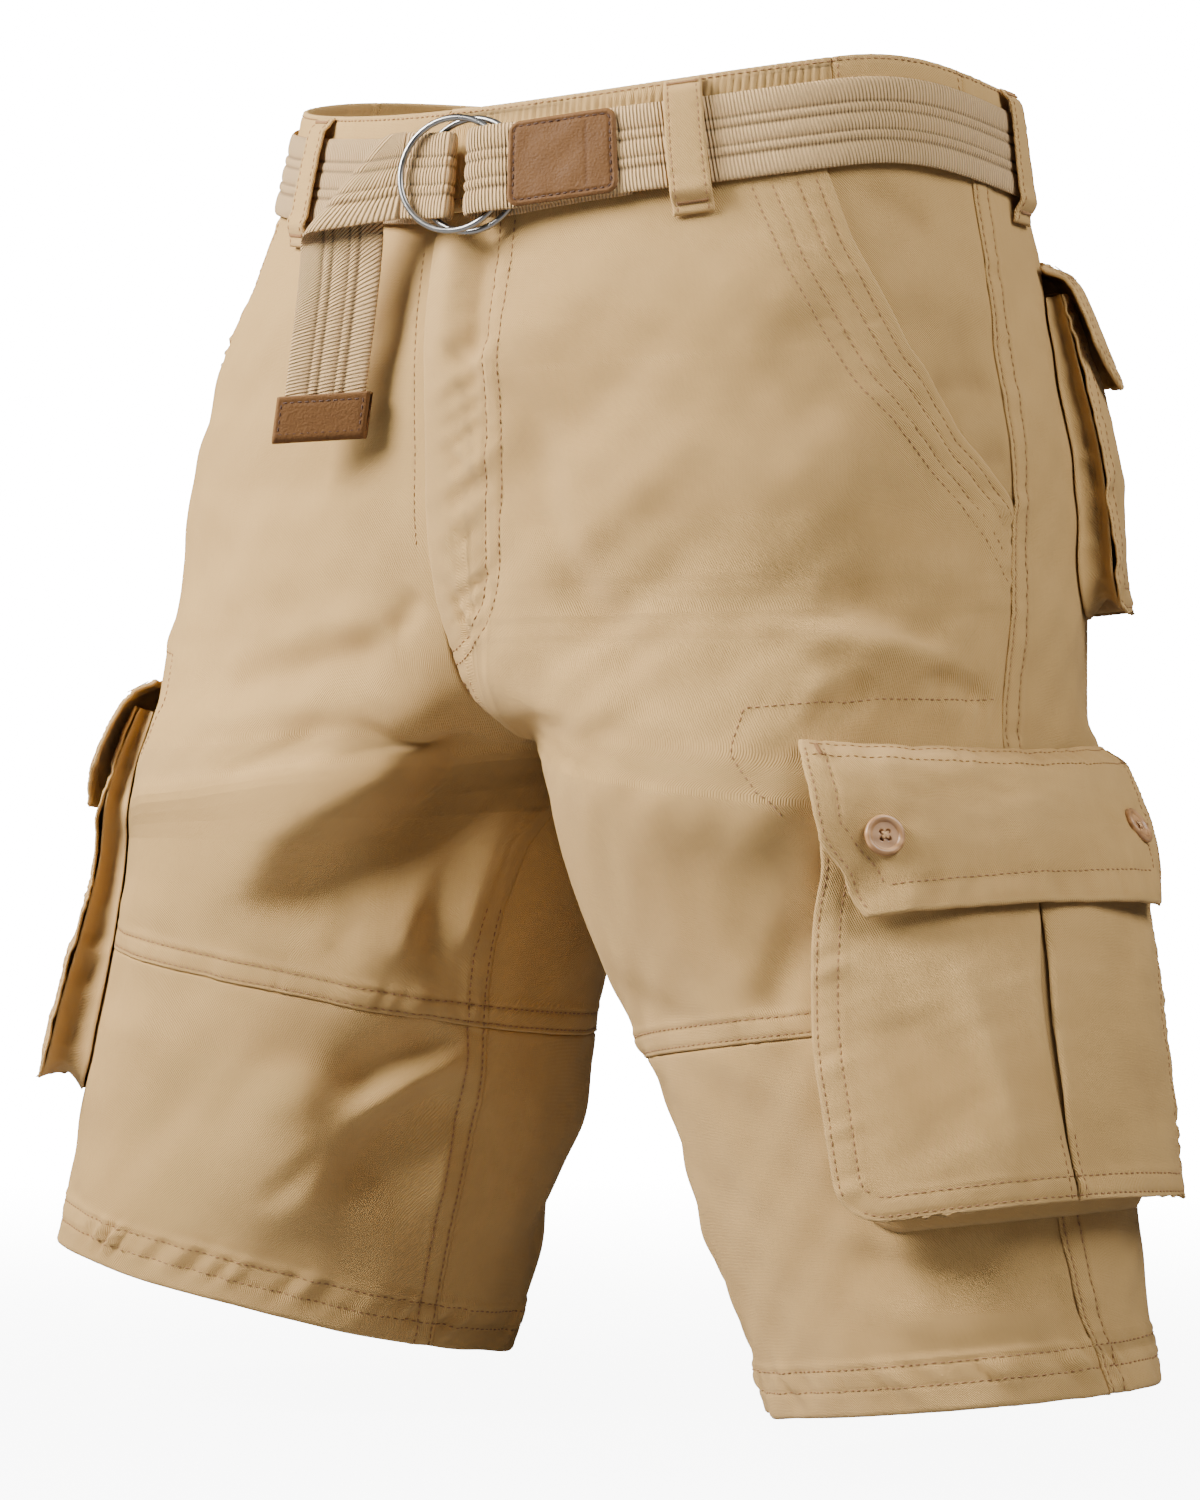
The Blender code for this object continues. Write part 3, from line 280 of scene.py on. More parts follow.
# Folds seen from the front corner, placed on a plane facing it: line of points (across, height above
# the waist), how far below the line the fold lies, its height, and its half widths above and below the line
cornerWay = (.743, .669)
cornerFolds = {
    "right": (
        (((-.080, -.240), (-.083, -.256), (-.093, -.280), (-.112, -.294), (-.135, -.307), (-.157, -.322),
                   (-.176, -.346)), -.010, .0075, .026, .009),
        (((-.074, -.246), (-.083, -.262), (-.093, -.282), (-.112, -.296), (-.135, -.308), (-.157, -.323),
                   (-.174, -.344)), .011, -.0140, .010, .024),
        (((-.098, -.214), (-.110, -.226), (-.135, -.232), (-.166, -.240), (-.196, -.254)),
         .003, -.0046, .008, .017),
        (((-.098, -.206), (-.115, -.216), (-.140, -.221), (-.170, -.228), (-.196, -.242)),
         0, .0028, .012, .007),
        (((-.096, -.206), (-.102, -.218), (-.110, -.223)), 0, -.0030, .006, .006),
        (((-.125, -.262), (-.150, -.272), (-.176, -.282), (-.198, -.296)), 0, -.0030, .008, .012),
        (((-.150, -.300), (-.170, -.306), (-.192, -.318)), 0, -.0018, .010, .010),
        (((-.096, -.325), (-.100, -.345), (-.103, -.362)), 0, .0026, .007, .006),
        (((-.070, -.318), (-.074, -.338), (-.077, -.356)), 0, .0030, .005, .006),
        (((-.084, -.322), (-.088, -.342), (-.090, -.360)), 0, -.0022, .005, .005),
        (((-.120, -.335), (-.128, -.350), (-.131, -.362)), 0, -.0018, .006, .006),
        # lower leg: a lit edge down it, hollows on its far side and a narrow ridge between them
        (((-.138, -.396), (-.142, -.420), (-.140, -.450), (-.143, -.480)), -.002, .0060, .030, .012),
        (((-.078, -.386), (-.104, -.397), (-.132, -.414)), .001, -.0075, .010, .008),
        (((-.070, -.392), (-.090, -.401), (-.109, -.413), (-.133, -.430)), 0, .0052, .0058, .0062),
        (((-.074, -.404), (-.098, -.420), (-.122, -.440), (-.132, -.462)), .004, -.0075, .008, .018),
        (((-.133, -.432), (-.148, -.448), (-.164, -.462)), 0, -.0022, .0035, .006),
        (((-.080, -.420), (-.086, -.444), (-.089, -.466)), 0, .0024, .005, .006),
        (((-.150, -.392), (-.176, -.424), (-.190, -.440)), 0, -.0016, .008, .012),
    ),
    "left": (
        (((-.052, -.125), (-.050, -.150), (-.043, -.182), (-.026, -.215), (-.009, -.239), (.006, -.276)),
         0, -.0038, .010, .009),
        (((-.040, -.150), (-.030, -.185), (-.012, -.212), (.006, -.238)), 0, .0018, .010, .012),
        (((.030, -.218), (.055, -.224), (.081, -.227), (.114, -.235), (.128, -.242)), 0, .0030, .0040, .0075),
        (((.062, -.206), (.080, -.213), (.097, -.221), (.116, -.231)), 0, -.0045, .011, .0050),
        (((.082, -.242), (.075, -.248), (.068, -.256)), 0, -.0030, .0045, .006),
        (((.100, -.240), (.118, -.244), (.134, -.251)), 0, -.0024, .004, .005),
        (((.040, -.252), (.056, -.246), (.070, -.243)), 0, .0016, .006, .006),
        (((.060, -.120), (.085, -.150), (.104, -.185)), 0, -.0016, .012, .014),
        (((.010, -.300), (.030, -.318), (.048, -.322)), 0, -.0016, .012, .012),
        (((.055, -.330), (.047, -.352), (.046, -.378)), 0, -.0024, .008, .010),
        (((.020, -.385), (.040, -.420), (.060, -.455), (.070, -.490)), 0, -.0026, .014, .012),
        (((.066, -.455), (.100, -.462), (.140, -.452)), 0, -.0036, .005, .010),
        (((.080, -.474), (.112, -.484), (.150, -.480)), 0, .0020, .007, .006),
        (((.146, -.460), (.156, -.480), (.162, -.505)), 0, -.0022, .006, .006),
    ),
}


def cornerHeight(side, xyz, normal):
    # height * exp(-(distance past the line / half width)^2), fading at both ends and where the cloth
    # turns away
    across = xyz[..., 0] * cornerWay[0] + xyz[..., 1] * cornerWay[1]
    facing = ease(normal[..., 0] * cornerWay[1] - normal[..., 1] * cornerWay[0], -.05, .35)
    height = np.zeros(across.shape)
    for line, shift, high, above, below in cornerFolds[side]:
        path = smoothPath(line, 14)
        pace = cumulative(path)
        best, aside, along = np.full(across.shape, 9.0), np.full(across.shape, 9.0), np.zeros(across.shape)
        for (x0, y0), (x1, y1), start in zip(path[:-1], path[1:], pace):
            dx, dy = x1 - x0, y1 - y0
            run = np.hypot(dx, dy)
            ox, oy = across - x0, xyz[..., 2] - y0
            part = np.clip((ox * dx + oy * dy) / run ** 2, 0, 1)
            far = np.hypot(ox - part * dx, oy - part * dy)
            near = far < best
            best = np.where(near, far, best)
            under = -np.sign(dx * oy - dy * ox) if path[-1, 0] > path[0, 0] else np.sign(dx * oy - dy * ox)
            aside = np.where(near, far * under, aside)
            along = np.where(near, (start + part * run) / pace[-1], along)
        aside = aside - shift
        wide = np.where(aside < 0, above, below)
        height += high * ease(along, 0, .28) * ease(1 - along, 0, .30) * bell(aside, wide)
    return height * facing


def foldHeight(side, t, u):
    far, turn = down(side, t), (u - 0.5) * girth(side, t)
    inner = section(side, t)["inseam"]
    near = np.minimum(np.abs(u - inner), np.abs(1 + inner - u)) * girth(side, t)
    rough = (drape["broad"] * soft(far, turn, drape["broadSize"], 11 if side == "left" else 12)
             + drape["fine"] * soft(far, turn, drape["fineSize"], 21 if side == "left" else 22))
    calm = np.clip((t - 1) / 1.2, 0, 1) * np.clip((lastRow - t) / 0.5, 0, 1)
    return foldLines(folds[side], far, turn) * calm + rough * ease(near, 0, .03) * ease(t, 1, 2)


def eased(side, t, u):
    # the form with the corners between its rows rounded off from the seat to the knee
    t, u = np.broadcast_arrays(np.asarray(t, float), np.asarray(u, float))
    edge = ease(np.minimum(u, 1 - u), .01, .12)
    reach = .85 * ease(t, 4.6, 6.0) * (1 - ease(t, 9.2, 10.6)) * (edge + (1 - edge) * ease(t, 7.9, 8.7))
    return (base(side, t - reach, u) + 2 * base(side, t - reach / 2, u) + 2 * base(side, t, u)
            + 2 * base(side, t + reach / 2, u) + base(side, t + reach, u)) / 8


def outward(side, t, u, shape):
    du, dt = 1e-3, 1e-2
    roundWay = shape(side, t, u + du) - shape(side, t, u - du)
    fall = shape(side, t + dt, u) - shape(side, t - dt, u)
    normal = -sign[side] * np.cross(roundWay, fall)
    return normal / np.linalg.norm(normal, axis=-1, keepdims=True)


def worn(side, t, u, out=0.0):
    # the cloth's outer face: base + normal * (folds + relief); the halves stand half a gap apart
    t, u = np.broadcast_arrays(np.asarray(t, float), np.asarray(u, float))
    xyz, way = eased(side, t, u), outward(side, t, u, eased)
    onLeg = ease(t, 1.2, 2.2) * ease(lastRow - t, .1, .7)      # not on the waistband nor at the hem
    fold = foldHeight(side, t, u) + cornerHeight(side, xyz, way) * onLeg
    xyz = xyz + way * (fold + out)[..., None]
    xyz[..., 0] += sign[side] * seamGap / 2
    return xyz


def stand(side, t, u, out):
    # a point well off the cloth: the folds under it fade with its height
    t, u = np.broadcast_arrays(np.asarray(t, float), np.asarray(u, float))
    height = out + foldHeight(side, t, u) * np.exp(-np.asarray(out, float) / 0.006)
    xyz = eased(side, t, u) + outward(side, t, u, eased) * height[..., None]
    xyz[..., 0] += sign[side] * seamGap / 2
    return xyz


# Shader groups

def makeGroup(name, inputs, outputs):
    tree = bpy.data.node_groups.new(name, "ShaderNodeTree")
    for label, value in inputs.items():
        socket = tree.interface.new_socket(name=label, in_out="INPUT", socket_type="NodeSocketFloat")
        socket.default_value = value
    for label in outputs:
        tree.interface.new_socket(name=label, in_out="OUTPUT", socket_type="NodeSocketFloat")
    return tree, tree.nodes.new("NodeGroupInput"), tree.nodes.new("NodeGroupOutput")


def addNode(tree, kind, settings=None, **inputs):
    # inputs are sockets to link or plain values, by socket name or _index
    node = tree.nodes.new(kind)
    for key, value in (settings or {}).items():
        setattr(node, key, value)
    for key, value in inputs.items():
        isIndex = key[0] == "_" and key[1:].isdigit()
        socket = node.inputs[int(key[1:]) if isIndex else key.replace("_", " ")]
        if isinstance(value, bpy.types.NodeSocket):
            tree.links.new(value, socket)
        else:
            socket.default_value = value
    return node


def calc(tree, operation, a, b=0.0, c=0.0):
    return addNode(tree, "ShaderNodeMath", {"operation": operation}, _0=a, _1=b, _2=c).outputs[0]


def blendColour(tree, factor, a, b):
    return addNode(tree, "ShaderNodeMix", {"data_type": "RGBA"}, _0=factor, _6=a, _7=b).outputs[2]


def noise(tree, place, scale, detail, **more):
    node = addNode(tree, "ShaderNodeTexNoise", None, Vector=place, Scale=scale, Detail=detail, **more)
    return node.outputs[0]


def stretched(tree, place, scale):
    return addNode(tree, "ShaderNodeMapping", None, Vector=place, Scale=scale).outputs[0]


def objectPlace(tree):
    return addNode(tree, "ShaderNodeTexCoord").outputs["Object"]


def cutPlace(tree):
    return addNode(tree, "ShaderNodeUVMap", {"uv_map": "cut"}).outputs[0]


def wearAndShadeMark(tree):
    # reads the mark of paler edges and of painted light and shade
    return addNode(tree, "ShaderNodeAttribute", {"attribute_name": "wearAndShade"}).outputs["Fac"]


def waveOver(tree, place, pitch):
    # sine wave of this pitch; one turn is 6.2832
    return calc(tree, "SINE", calc(tree, "MULTIPLY", calc(tree, "DIVIDE", place, pitch), 6.2832))


def twillGroup():
    # diagonal ridges across the cut's own metres, broken up by the weft
    tree, start, end = makeGroup("twillWeave", dict(Pitch=.0009, Uneven=.4), ("Height", "Slub"))
    uv = cutPlace(tree)
    warp = noise(tree, uv, 220.0, 2.0)
    parts = addNode(tree, "ShaderNodeSeparateXYZ", None, _0=uv)
    x, y = parts.outputs[0], parts.outputs[1]
    sway = calc(tree, "MULTIPLY", warp, .0004)
    slant = calc(tree, "ADD", calc(tree, "MULTIPLY_ADD", y, .62, x), sway)
    ridge = waveOver(tree, slant, start.outputs["Pitch"])
    weft = calc(tree, "SINE", calc(tree, "MULTIPLY", calc(tree, "DIVIDE", y, start.outputs["Pitch"]), 9.5))
    slub = noise(tree, stretched(tree, uv, (900, 130, 1)), 1.0, 1.0)
    height = calc(tree, "MULTIPLY_ADD", weft, .25, ridge)
    height = calc(tree, "MULTIPLY_ADD", calc(tree, "MULTIPLY", slub, start.outputs["Uneven"]), 2.0, height)
    tree.links.new(height, end.inputs["Height"])
    tree.links.new(slub, end.inputs["Slub"])
    return tree


def mottleGroup():
    # large and small cloudy patches of colour, 0 to 1
    tree, start, end = makeGroup("mottle", dict(Size=.03, Contrast=1.0), ("Mask",))
    place = objectPlace(tree)
    scale = calc(tree, "DIVIDE", 1.0, start.outputs["Size"])
    large = noise(tree, place, scale, 3.0, Roughness=.6)
    small = noise(tree, place, calc(tree, "MULTIPLY", scale, 9.0), 2.0)
    mixed = calc(tree, "MULTIPLY_ADD", small, .4, calc(tree, "MULTIPLY", large, .6))
    mask = calc(tree, "MULTIPLY_ADD", calc(tree, "SUBTRACT", mixed, .5), start.outputs["Contrast"], .5)
    tree.links.new(addNode(tree, "ShaderNodeClamp", None, Value=mask).outputs[0], end.inputs["Mask"])
    return tree


def grainGroup():
    # pebbled hide: cells with soft valleys between them
    tree, start, end = makeGroup("hideGrain", dict(Scale=900.0), ("Height", "Cloud"))
    place = objectPlace(tree)
    scale = start.outputs["Scale"]
    cells = addNode(tree, "ShaderNodeTexVoronoi", {"feature": "SMOOTH_F1"}, Vector=place, Scale=scale)
    cloud = noise(tree, place, 140.0, 4.0, Roughness=.65)
    tree.links.new(calc(tree, "MULTIPLY_ADD", cloud, .8, cells.outputs["Distance"]), end.inputs["Height"])
    tree.links.new(cloud, end.inputs["Cloud"])
    return tree


def cordGroup():
    # short cords side by side across the webbing, each rib a little out of step with the next
    tree, start, end = makeGroup("cordedWeb", dict(Pitch=.00095), ("Height", "NotchShade"))
    uv = cutPlace(tree)
    sway = noise(tree, uv, 160.0, 1.0)
    parts = addNode(tree, "ShaderNodeSeparateXYZ", None, _0=uv)
    along = calc(tree, "MULTIPLY_ADD", sway, .0005, parts.outputs[0])
    lean = calc(tree, "MULTIPLY_ADD", parts.outputs[1], .06, along)
    wave = waveOver(tree, lean, start.outputs["Pitch"])
    crown = calc(tree, "POWER", calc(tree, "MULTIPLY_ADD", wave, .5, .5), .6)
    slant = calc(tree, "MULTIPLY_ADD", parts.outputs[1], 9000.0, calc(tree, "MULTIPLY", along, 5200.0))
    yarn = calc(tree, "SINE", slant)
    tree.links.new(calc(tree, "MULTIPLY_ADD", yarn, .12, crown), end.inputs["Height"])
    # the notches between the cords, used for painting shade
    tree.links.new(calc(tree, "SUBTRACT", 1.0, crown), end.inputs["NotchShade"])
    return tree


groups = {"twill": twillGroup(), "mottle": mottleGroup(), "grain": grainGroup(), "cord": cordGroup()}


def placeGroup(tree, name, **inputs):
    node = tree.nodes.new("ShaderNodeGroup")
    node.node_tree = groups[name]
    for key, value in inputs.items():
        node.inputs[key].default_value = value
    return node


def startMaterial(name, roughness, sheen=0.0, metallic=0.0, specular=.3):
    material = bpy.data.materials.new(name)
    material.use_nodes = True
    tree = material.node_tree
    shader = tree.nodes["Principled BSDF"]
    shader.inputs["Roughness"].default_value = roughness
    shader.inputs["Sheen Weight"].default_value = sheen
    shader.inputs["Sheen Roughness"].default_value = .5
    shader.inputs["Metallic"].default_value = metallic
    shader.inputs["Specular IOR Level"].default_value = specular
    return material, tree, shader


def mottled(tree, colour, patch, share, **sizes):
    # up to this share of the patches' colour
    mask = placeGroup(tree, "mottle", **sizes).outputs[0]
    return blendColour(tree, calc(tree, "MULTIPLY", mask, share), (*colour, 1), (*patch, 1))


def paintWearAndShade(tree, colour, lighten, pale, darken, dark):
    # paler where the mark is above zero, darker where it is below; the mark holds paler edges together with
    # painted light and shade: lighter on raised cloth, darker in hollows and stitch ditches
    wearAndShade = wearAndShadeMark(tree)
    lighter = calc(tree, "MINIMUM", calc(tree, "MAXIMUM", wearAndShade, 0.0), 1.0)
    darker = calc(tree, "MINIMUM", calc(tree, "MAXIMUM", calc(tree, "MULTIPLY", wearAndShade, -1.0), 0.0), 1.0)
    colour = blendColour(tree, calc(tree, "MULTIPLY", lighter, lighten), colour, (*pale, 1))
    return blendColour(tree, calc(tree, "MULTIPLY", darker, darken), colour, (*dark, 1))


def bumpFrom(tree, shader, height, distance, strength=1.0):
    bump = addNode(tree, "ShaderNodeBump", None, Height=height, Distance=distance, Strength=strength)
    tree.links.new(bump.outputs[0], shader.inputs["Normal"])


# worn is the pale tone of the random patches and of the painted light on raised cloth and pale edges; deep is
# the dark tone of the slubs and of the painted shade in hollows and stitch ditches
clothSettings = dict(colour=(.500, .305, .108), worn=(.590, .375, .152), deep=(.285, .164, .056),
                     roughness=.86, sheen=.04, weave=.00012)


def clothMaterial(name, s):
    material, tree, shader = startMaterial(name, s["roughness"], s["sheen"], specular=.22)
    weave = placeGroup(tree, "twill", Pitch=.0009, Uneven=.45)
    colour = mottled(tree, s["colour"], s["worn"], .22, Size=.035, Contrast=1.6)
    # painted light and shade from the mark: towards worn on raised cloth and pale edges, towards deep in
    # hollows and stitch ditches
    colour = paintWearAndShade(tree, colour, .55, s["worn"], .75, s["deep"])
    slub = calc(tree, "MULTIPLY", weave.outputs["Slub"], .16)
    colour = blendColour(tree, slub, colour, (*s["deep"], 1))
    tree.links.new(colour, shader.inputs["Base Color"])
    bumpFrom(tree, shader, weave.outputs["Height"], s["weave"])
    return material


def threadMaterial(name, colour, dark):
    material, tree, shader = startMaterial(name, .7, .1, specular=.3)
    place = objectPlace(tree)
    fleck = noise(tree, place, 420.0, 1.0)
    tree.links.new(blendColour(tree, fleck, (*colour, 1), (*dark, 1)), shader.inputs["Base Color"])
    twist = noise(tree, place, 3500.0, 0.0)
    bumpFrom(tree, shader, twist, .0002)
    return material


# groove is the dark colour painted as shade into the grooves between ribs and the notches between cords
webSettings = dict(colour=(.790, .510, .235), soiled=(.46, .26, .11), groove=(.150, .075, .026),
                   roughness=.84, sheen=.08, cord=.0013)


def webMaterial(name, s):
    material, tree, shader = startMaterial(name, s["roughness"], s["sheen"], specular=.2)
    cord = placeGroup(tree, "cord", Pitch=.00145)
    groove = wearAndShadeMark(tree)
    # painted shade in the notches between cords, strongest in the grooves
    notch = calc(tree, "MULTIPLY", cord.outputs["NotchShade"], calc(tree, "MULTIPLY_ADD", groove, .70, .26))
    colour = mottled(tree, s["colour"], s["soiled"], .12, Size=.012, Contrast=1.4)
    # painted shade: the grooves between ribs darkened towards the groove colour
    colour = blendColour(tree, calc(tree, "MULTIPLY", groove, .60), colour, (*s["groove"], 1))
    colour = blendColour(tree, notch, colour, (*s["groove"], 1))
    tree.links.new(colour, shader.inputs["Base Color"])
    bumpFrom(tree, shader, cord.outputs["Height"], s["cord"])
    return material


leatherSettings = dict(colour=(.125, .058, .019), dark=(.068, .028, .010), pale=(.230, .118, .048),
                       roughness=.62)


def leatherMaterial(name, s):
    material, tree, shader = startMaterial(name, s["roughness"], specular=.10)
    grain = placeGroup(tree, "grain", Scale=1100.0)
    colour = mottled(tree, s["colour"], s["dark"], .45, Size=.009, Contrast=2.0)
    colour = paintWearAndShade(tree, colour, .6, s["pale"], .8, s["dark"])
    tree.links.new(colour, shader.inputs["Base Color"])
    rough = calc(tree, "MULTIPLY_ADD", grain.outputs["Cloud"], .3, .45)
    tree.links.new(rough, shader.inputs["Roughness"])
    bumpFrom(tree, shader, grain.outputs["Height"], .00022)
    return material


def steelMaterial(name):
    material, tree, shader = startMaterial(name, .2, metallic=1.0)
    place = objectPlace(tree)
    smudge = noise(tree, place, 160.0, 4.0)
    colour = blendColour(tree, smudge, (.20, .196, .19, 1), (.36, .35, .335, 1))
    tree.links.new(colour, shader.inputs["Base Color"])
    tree.links.new(calc(tree, "MULTIPLY_ADD", smudge, .20, .20), shader.inputs["Roughness"])
    scratch = noise(tree, stretched(tree, place, (400, 400, 4000)), 1.0, 1.0)
    bumpFrom(tree, shader, scratch, .00003)
    return material


def buttonMaterial(name):
    material, tree, shader = startMaterial(name, .36, specular=.5)
    place = objectPlace(tree)
    swirl = addNode(tree, "ShaderNodeTexWave", {"wave_type": "RINGS"}, Vector=place, Scale=60.0,
                    Distortion=9.0, Detail=2.0)
    colour = blendColour(tree, swirl.outputs[1], (.330, .165, .065, 1), (.460, .250, .110, 1))
    tree.links.new(colour, shader.inputs["Base Color"])
    cloud = noise(tree, place, 500.0, 2.0)
    tree.links.new(calc(tree, "MULTIPLY_ADD", cloud, .2, .28), shader.inputs["Roughness"])
    bumpFrom(tree, shader, cloud, .00004)
    return material


materials = {
    "twill": clothMaterial("twill_khaki", clothSettings),
    "webbing": webMaterial("webbing_sand", webSettings),
    "leather": leatherMaterial("leather_tan", leatherSettings),
    "steel": steelMaterial("steel_polished"),
    "button": buttonMaterial("button_horn"),
    "thread": threadMaterial("thread_khaki", (.330, .170, .062), (.230, .110, .038)),
    "threadPale": threadMaterial("thread_sand", (.700, .430, .200), (.560, .320, .140)),
    "threadBrown": threadMaterial("thread_brown", (.080, .032, .014), (.045, .018, .008)),
}
print("materials ready")

# Making meshes

def makePiece(name, points, faces, material, uv=None, wearAndShade=None, replaces=()):
    mesh = bpy.data.meshes.new(name)
    mesh.from_pydata(points.tolist(), [], faces if isinstance(faces, list) else faces.tolist())
    mesh.materials.append(materials[material])
    if uv is not None:
        layer = mesh.uv_layers.new(name="cut")
        layer.data.foreach_set("uv", np.ascontiguousarray(uv, np.float32).ravel())
    if wearAndShade is not None:
        marks = mesh.attributes.new("wearAndShade", "FLOAT", "POINT")
        marks.data.foreach_set("value", wearAndShade.astype(np.float32).ravel())
    mesh.shade_smooth()
    mesh.update()
    made = bpy.data.objects.new(name, mesh)
    bpy.context.scene.collection.objects.link(made)
    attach(made, "root")
    if replaces:
        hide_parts(*replaces)
    return made


def gridNormals(points, like=None):
    # across the two directions of the grid, turned to the side of like
    normal = np.cross(np.gradient(points, axis=0), np.gradient(points, axis=1))
    normal /= np.maximum(np.linalg.norm(normal, axis=-1, keepdims=True), 1e-12)
    if like is not None:
        normal *= np.sign((normal * like).sum(-1).mean())
    return normal


def lengths(points):
    # metres from each of the four edges, measured along the grid
    fall = np.linalg.norm(np.diff(points, axis=0), axis=2)
    side = np.linalg.norm(np.diff(points, axis=1), axis=2)
    top = np.concatenate([np.zeros((1, points.shape[1])), np.cumsum(fall, 0)])
    start = np.concatenate([np.zeros((points.shape[0], 1)), np.cumsum(side, 1)], axis=1)
    return dict(top=top, foot=top[-1:] - top, start=start, end=start[:, -1:] - start)


def makeShell(name, face, normal, thick, material="twill", wearAndShade=None, soften=.32):
    # a closed sheet: the face, the same grid pushed in by the wall, and a rim whose edges are eased
    rows, columns = face.shape[:2]
    thick = np.broadcast_to(np.asarray(thick, float), (rows, columns))[..., None]
    rim = np.zeros((rows, columns, 1))
    rim[0], rim[-1], rim[:, 0], rim[:, -1] = 1, 1, 1, 1
    outer = face - normal * thick * rim * soften
    inner = face - normal * thick * (1 - rim * soften)
    measure = lengths(face)
    flat = np.stack([measure["start"] - measure["start"][:, -1:] / 2, -measure["top"]], -1)
    count = rows * columns
    index = np.arange(count).reshape(rows, columns)
    quads = np.stack([index[:-1, :-1], index[:-1, 1:], index[1:, 1:], index[1:, :-1]], -1).reshape(-1, 4)
    i, j = rows // 2, columns // 2
    isTurned = np.cross(face[i, j + 1] - face[i, j], face[i + 1, j] - face[i, j]) @ normal[i, j] < 0
    if isTurned:
        quads = quads[:, ::-1]
    border = np.r_[index[0, :-1], index[:-1, -1], index[-1, :0:-1], index[:0:-1, 0]]
    after = np.roll(border, -1)
    edge = np.stack([after, border, border + count, after + count], -1)
    if isTurned:
        edge = edge[:, ::-1]
    faces = np.concatenate([quads, quads[:, ::-1] + count, edge])
    points = np.concatenate([outer.reshape(-1, 3), inner.reshape(-1, 3)])
    uv = np.concatenate([flat.reshape(-1, 2)] * 2)[faces.ravel()]
    mark = np.zeros((rows, columns)) if wearAndShade is None else wearAndShade
    mark = np.concatenate([mark.ravel(), mark.ravel() * 0])
    return makePiece(name, points, faces, material, uv, mark, [name])


def makeCloth(name, face, normal, thick, wearAndShade=None):
    makeShell(name, face, normal, thick, wearAndShade=wearAndShade)


def makeTube(name, rings, along, around, material, wearAndShade=None, closed=False):
    # the same outline at each station, joined ring to ring, its two ends closed by a fan
    stations, corners = rings.shape[:2]
    index = np.arange(stations * corners).reshape(stations, corners)
    rows = np.arange(stations if closed else stations - 1)
    following = (rows + 1) % stations
    columns = np.arange(corners)
    beside = (columns + 1) % corners
    quads = np.stack([index[np.ix_(rows, columns)], index[np.ix_(rows, beside)],
                      index[np.ix_(following, beside)], index[np.ix_(following, columns)]], -1).reshape(-1, 4)
    far = np.append(along, along[-1] + along[1] - along[0]) if closed else along
    isRound = abs(around[0] - around[-1]) < .01
    wide = np.append(around, around[0] if isRound else around[-1])
    here, there = rows, rows + 1
    grid = lambda r, c: np.stack(np.broadcast_arrays(far[r][:, None], wide[c][None]), -1)
    uv = np.stack([grid(here, columns), grid(here, columns + 1),
                   grid(there, columns + 1), grid(there, columns)], 2).reshape(-1, 2)
    points, faces = rings.reshape(-1, 3), quads
    mark = np.zeros(len(points)) if wearAndShade is None else np.broadcast_to(wearAndShade, (stations, corners)).ravel()
    # a negative volume means that the faces look inwards
    a, b, c, d = (points - points.mean(0))[quads.T]
    volume = (a * (np.cross(b, c) + np.cross(c, d))).sum()
    if volume < 0:
        faces = quads[:, ::-1]
        uv = uv.reshape(-1, 4, 2)[:, ::-1].reshape(-1, 2)
    faces = faces.tolist()
    if not closed:
        ends = [index[0].tolist(), index[-1][::-1].tolist()]
        if volume >= 0:
            ends = [e[::-1] for e in ends]
        faces += ends
        fill = np.stack([np.full(corners, far[0]), around], -1)
        uv = np.concatenate([uv, fill, fill])
    return makePiece(name, points, faces, material, uv, mark, [name])


# Stitches: a row follows a path over a grid, and each stitch is a small bead with pointed ends

stitchRows = {}
beadFaces = ([[0, 1 + k, 1 + (k + 1) % 4] for k in range(4)]
             + [[1 + k, 5 + k, 5 + (k + 1) % 4, 1 + (k + 1) % 4] for k in range(4)]
             + [[9, 5 + (k + 1) % 4, 5 + k] for k in range(4)])


def sample(grid, path):
    i = np.clip(path[:, 0], 0, grid.shape[0] - 1.0001)
    j = np.clip(path[:, 1], 0, grid.shape[1] - 1.0001)
    a, b = i.astype(int), j.astype(int)
    p, q = i - a, j - b
    if grid.ndim == 3:
        p, q = p[:, None], q[:, None]
    return ((grid[a, b] * (1 - q) + grid[a, b + 1] * q) * (1 - p)
            + (grid[a + 1, b] * (1 - q) + grid[a + 1, b + 1] * q) * p)


def keepStitches(group, middle, way, up, aside, half, wide):
    stitchRows.setdefault(group, []).append((middle, way, up, aside, half, np.full(len(middle), wide)))


def sewPoints(group, points, normals, pitch=.0032, length=.0023, wide=.00036, lift=.00008):
    # even steps along the row; no stitch crosses a break in the path
    step = np.linalg.norm(np.diff(points, axis=0), axis=1)
    far = cumulative(points)
    if far[-1] < pitch * 1.2:
        return
    rng = np.random.default_rng(int(far[-1] * 1e6) % 100000)
    count = int(far[-1] / pitch)
    centre = (np.arange(count) + .5) * far[-1] / count
    centre = centre + rng.normal(0, .00006, count)
    ok = step[np.clip(np.searchsorted(far, centre) - 1, 0, len(step) - 1)] < .008
    centre = centre[ok]
    at = lambda c, v: np.stack([np.interp(c, far, v[:, k]) for k in range(3)], -1)
    half = length / 2 * rng.uniform(.9, 1.08, len(centre))
    first, last = at(centre - half, points), at(centre + half, points)
    middle = at(centre, points)
    way = last - first
    way /= np.maximum(np.linalg.norm(way, axis=1, keepdims=True), 1e-9)
    up = at(centre, normals)
    up -= way * (up * way).sum(1, keepdims=True)
    up /= np.linalg.norm(up, axis=1, keepdims=True)
    aside = np.cross(up, way)
    way = way + aside * rng.normal(0, .05, (len(centre), 1))
    keepStitches(group, middle + up * lift, way, up, aside, half, wide)


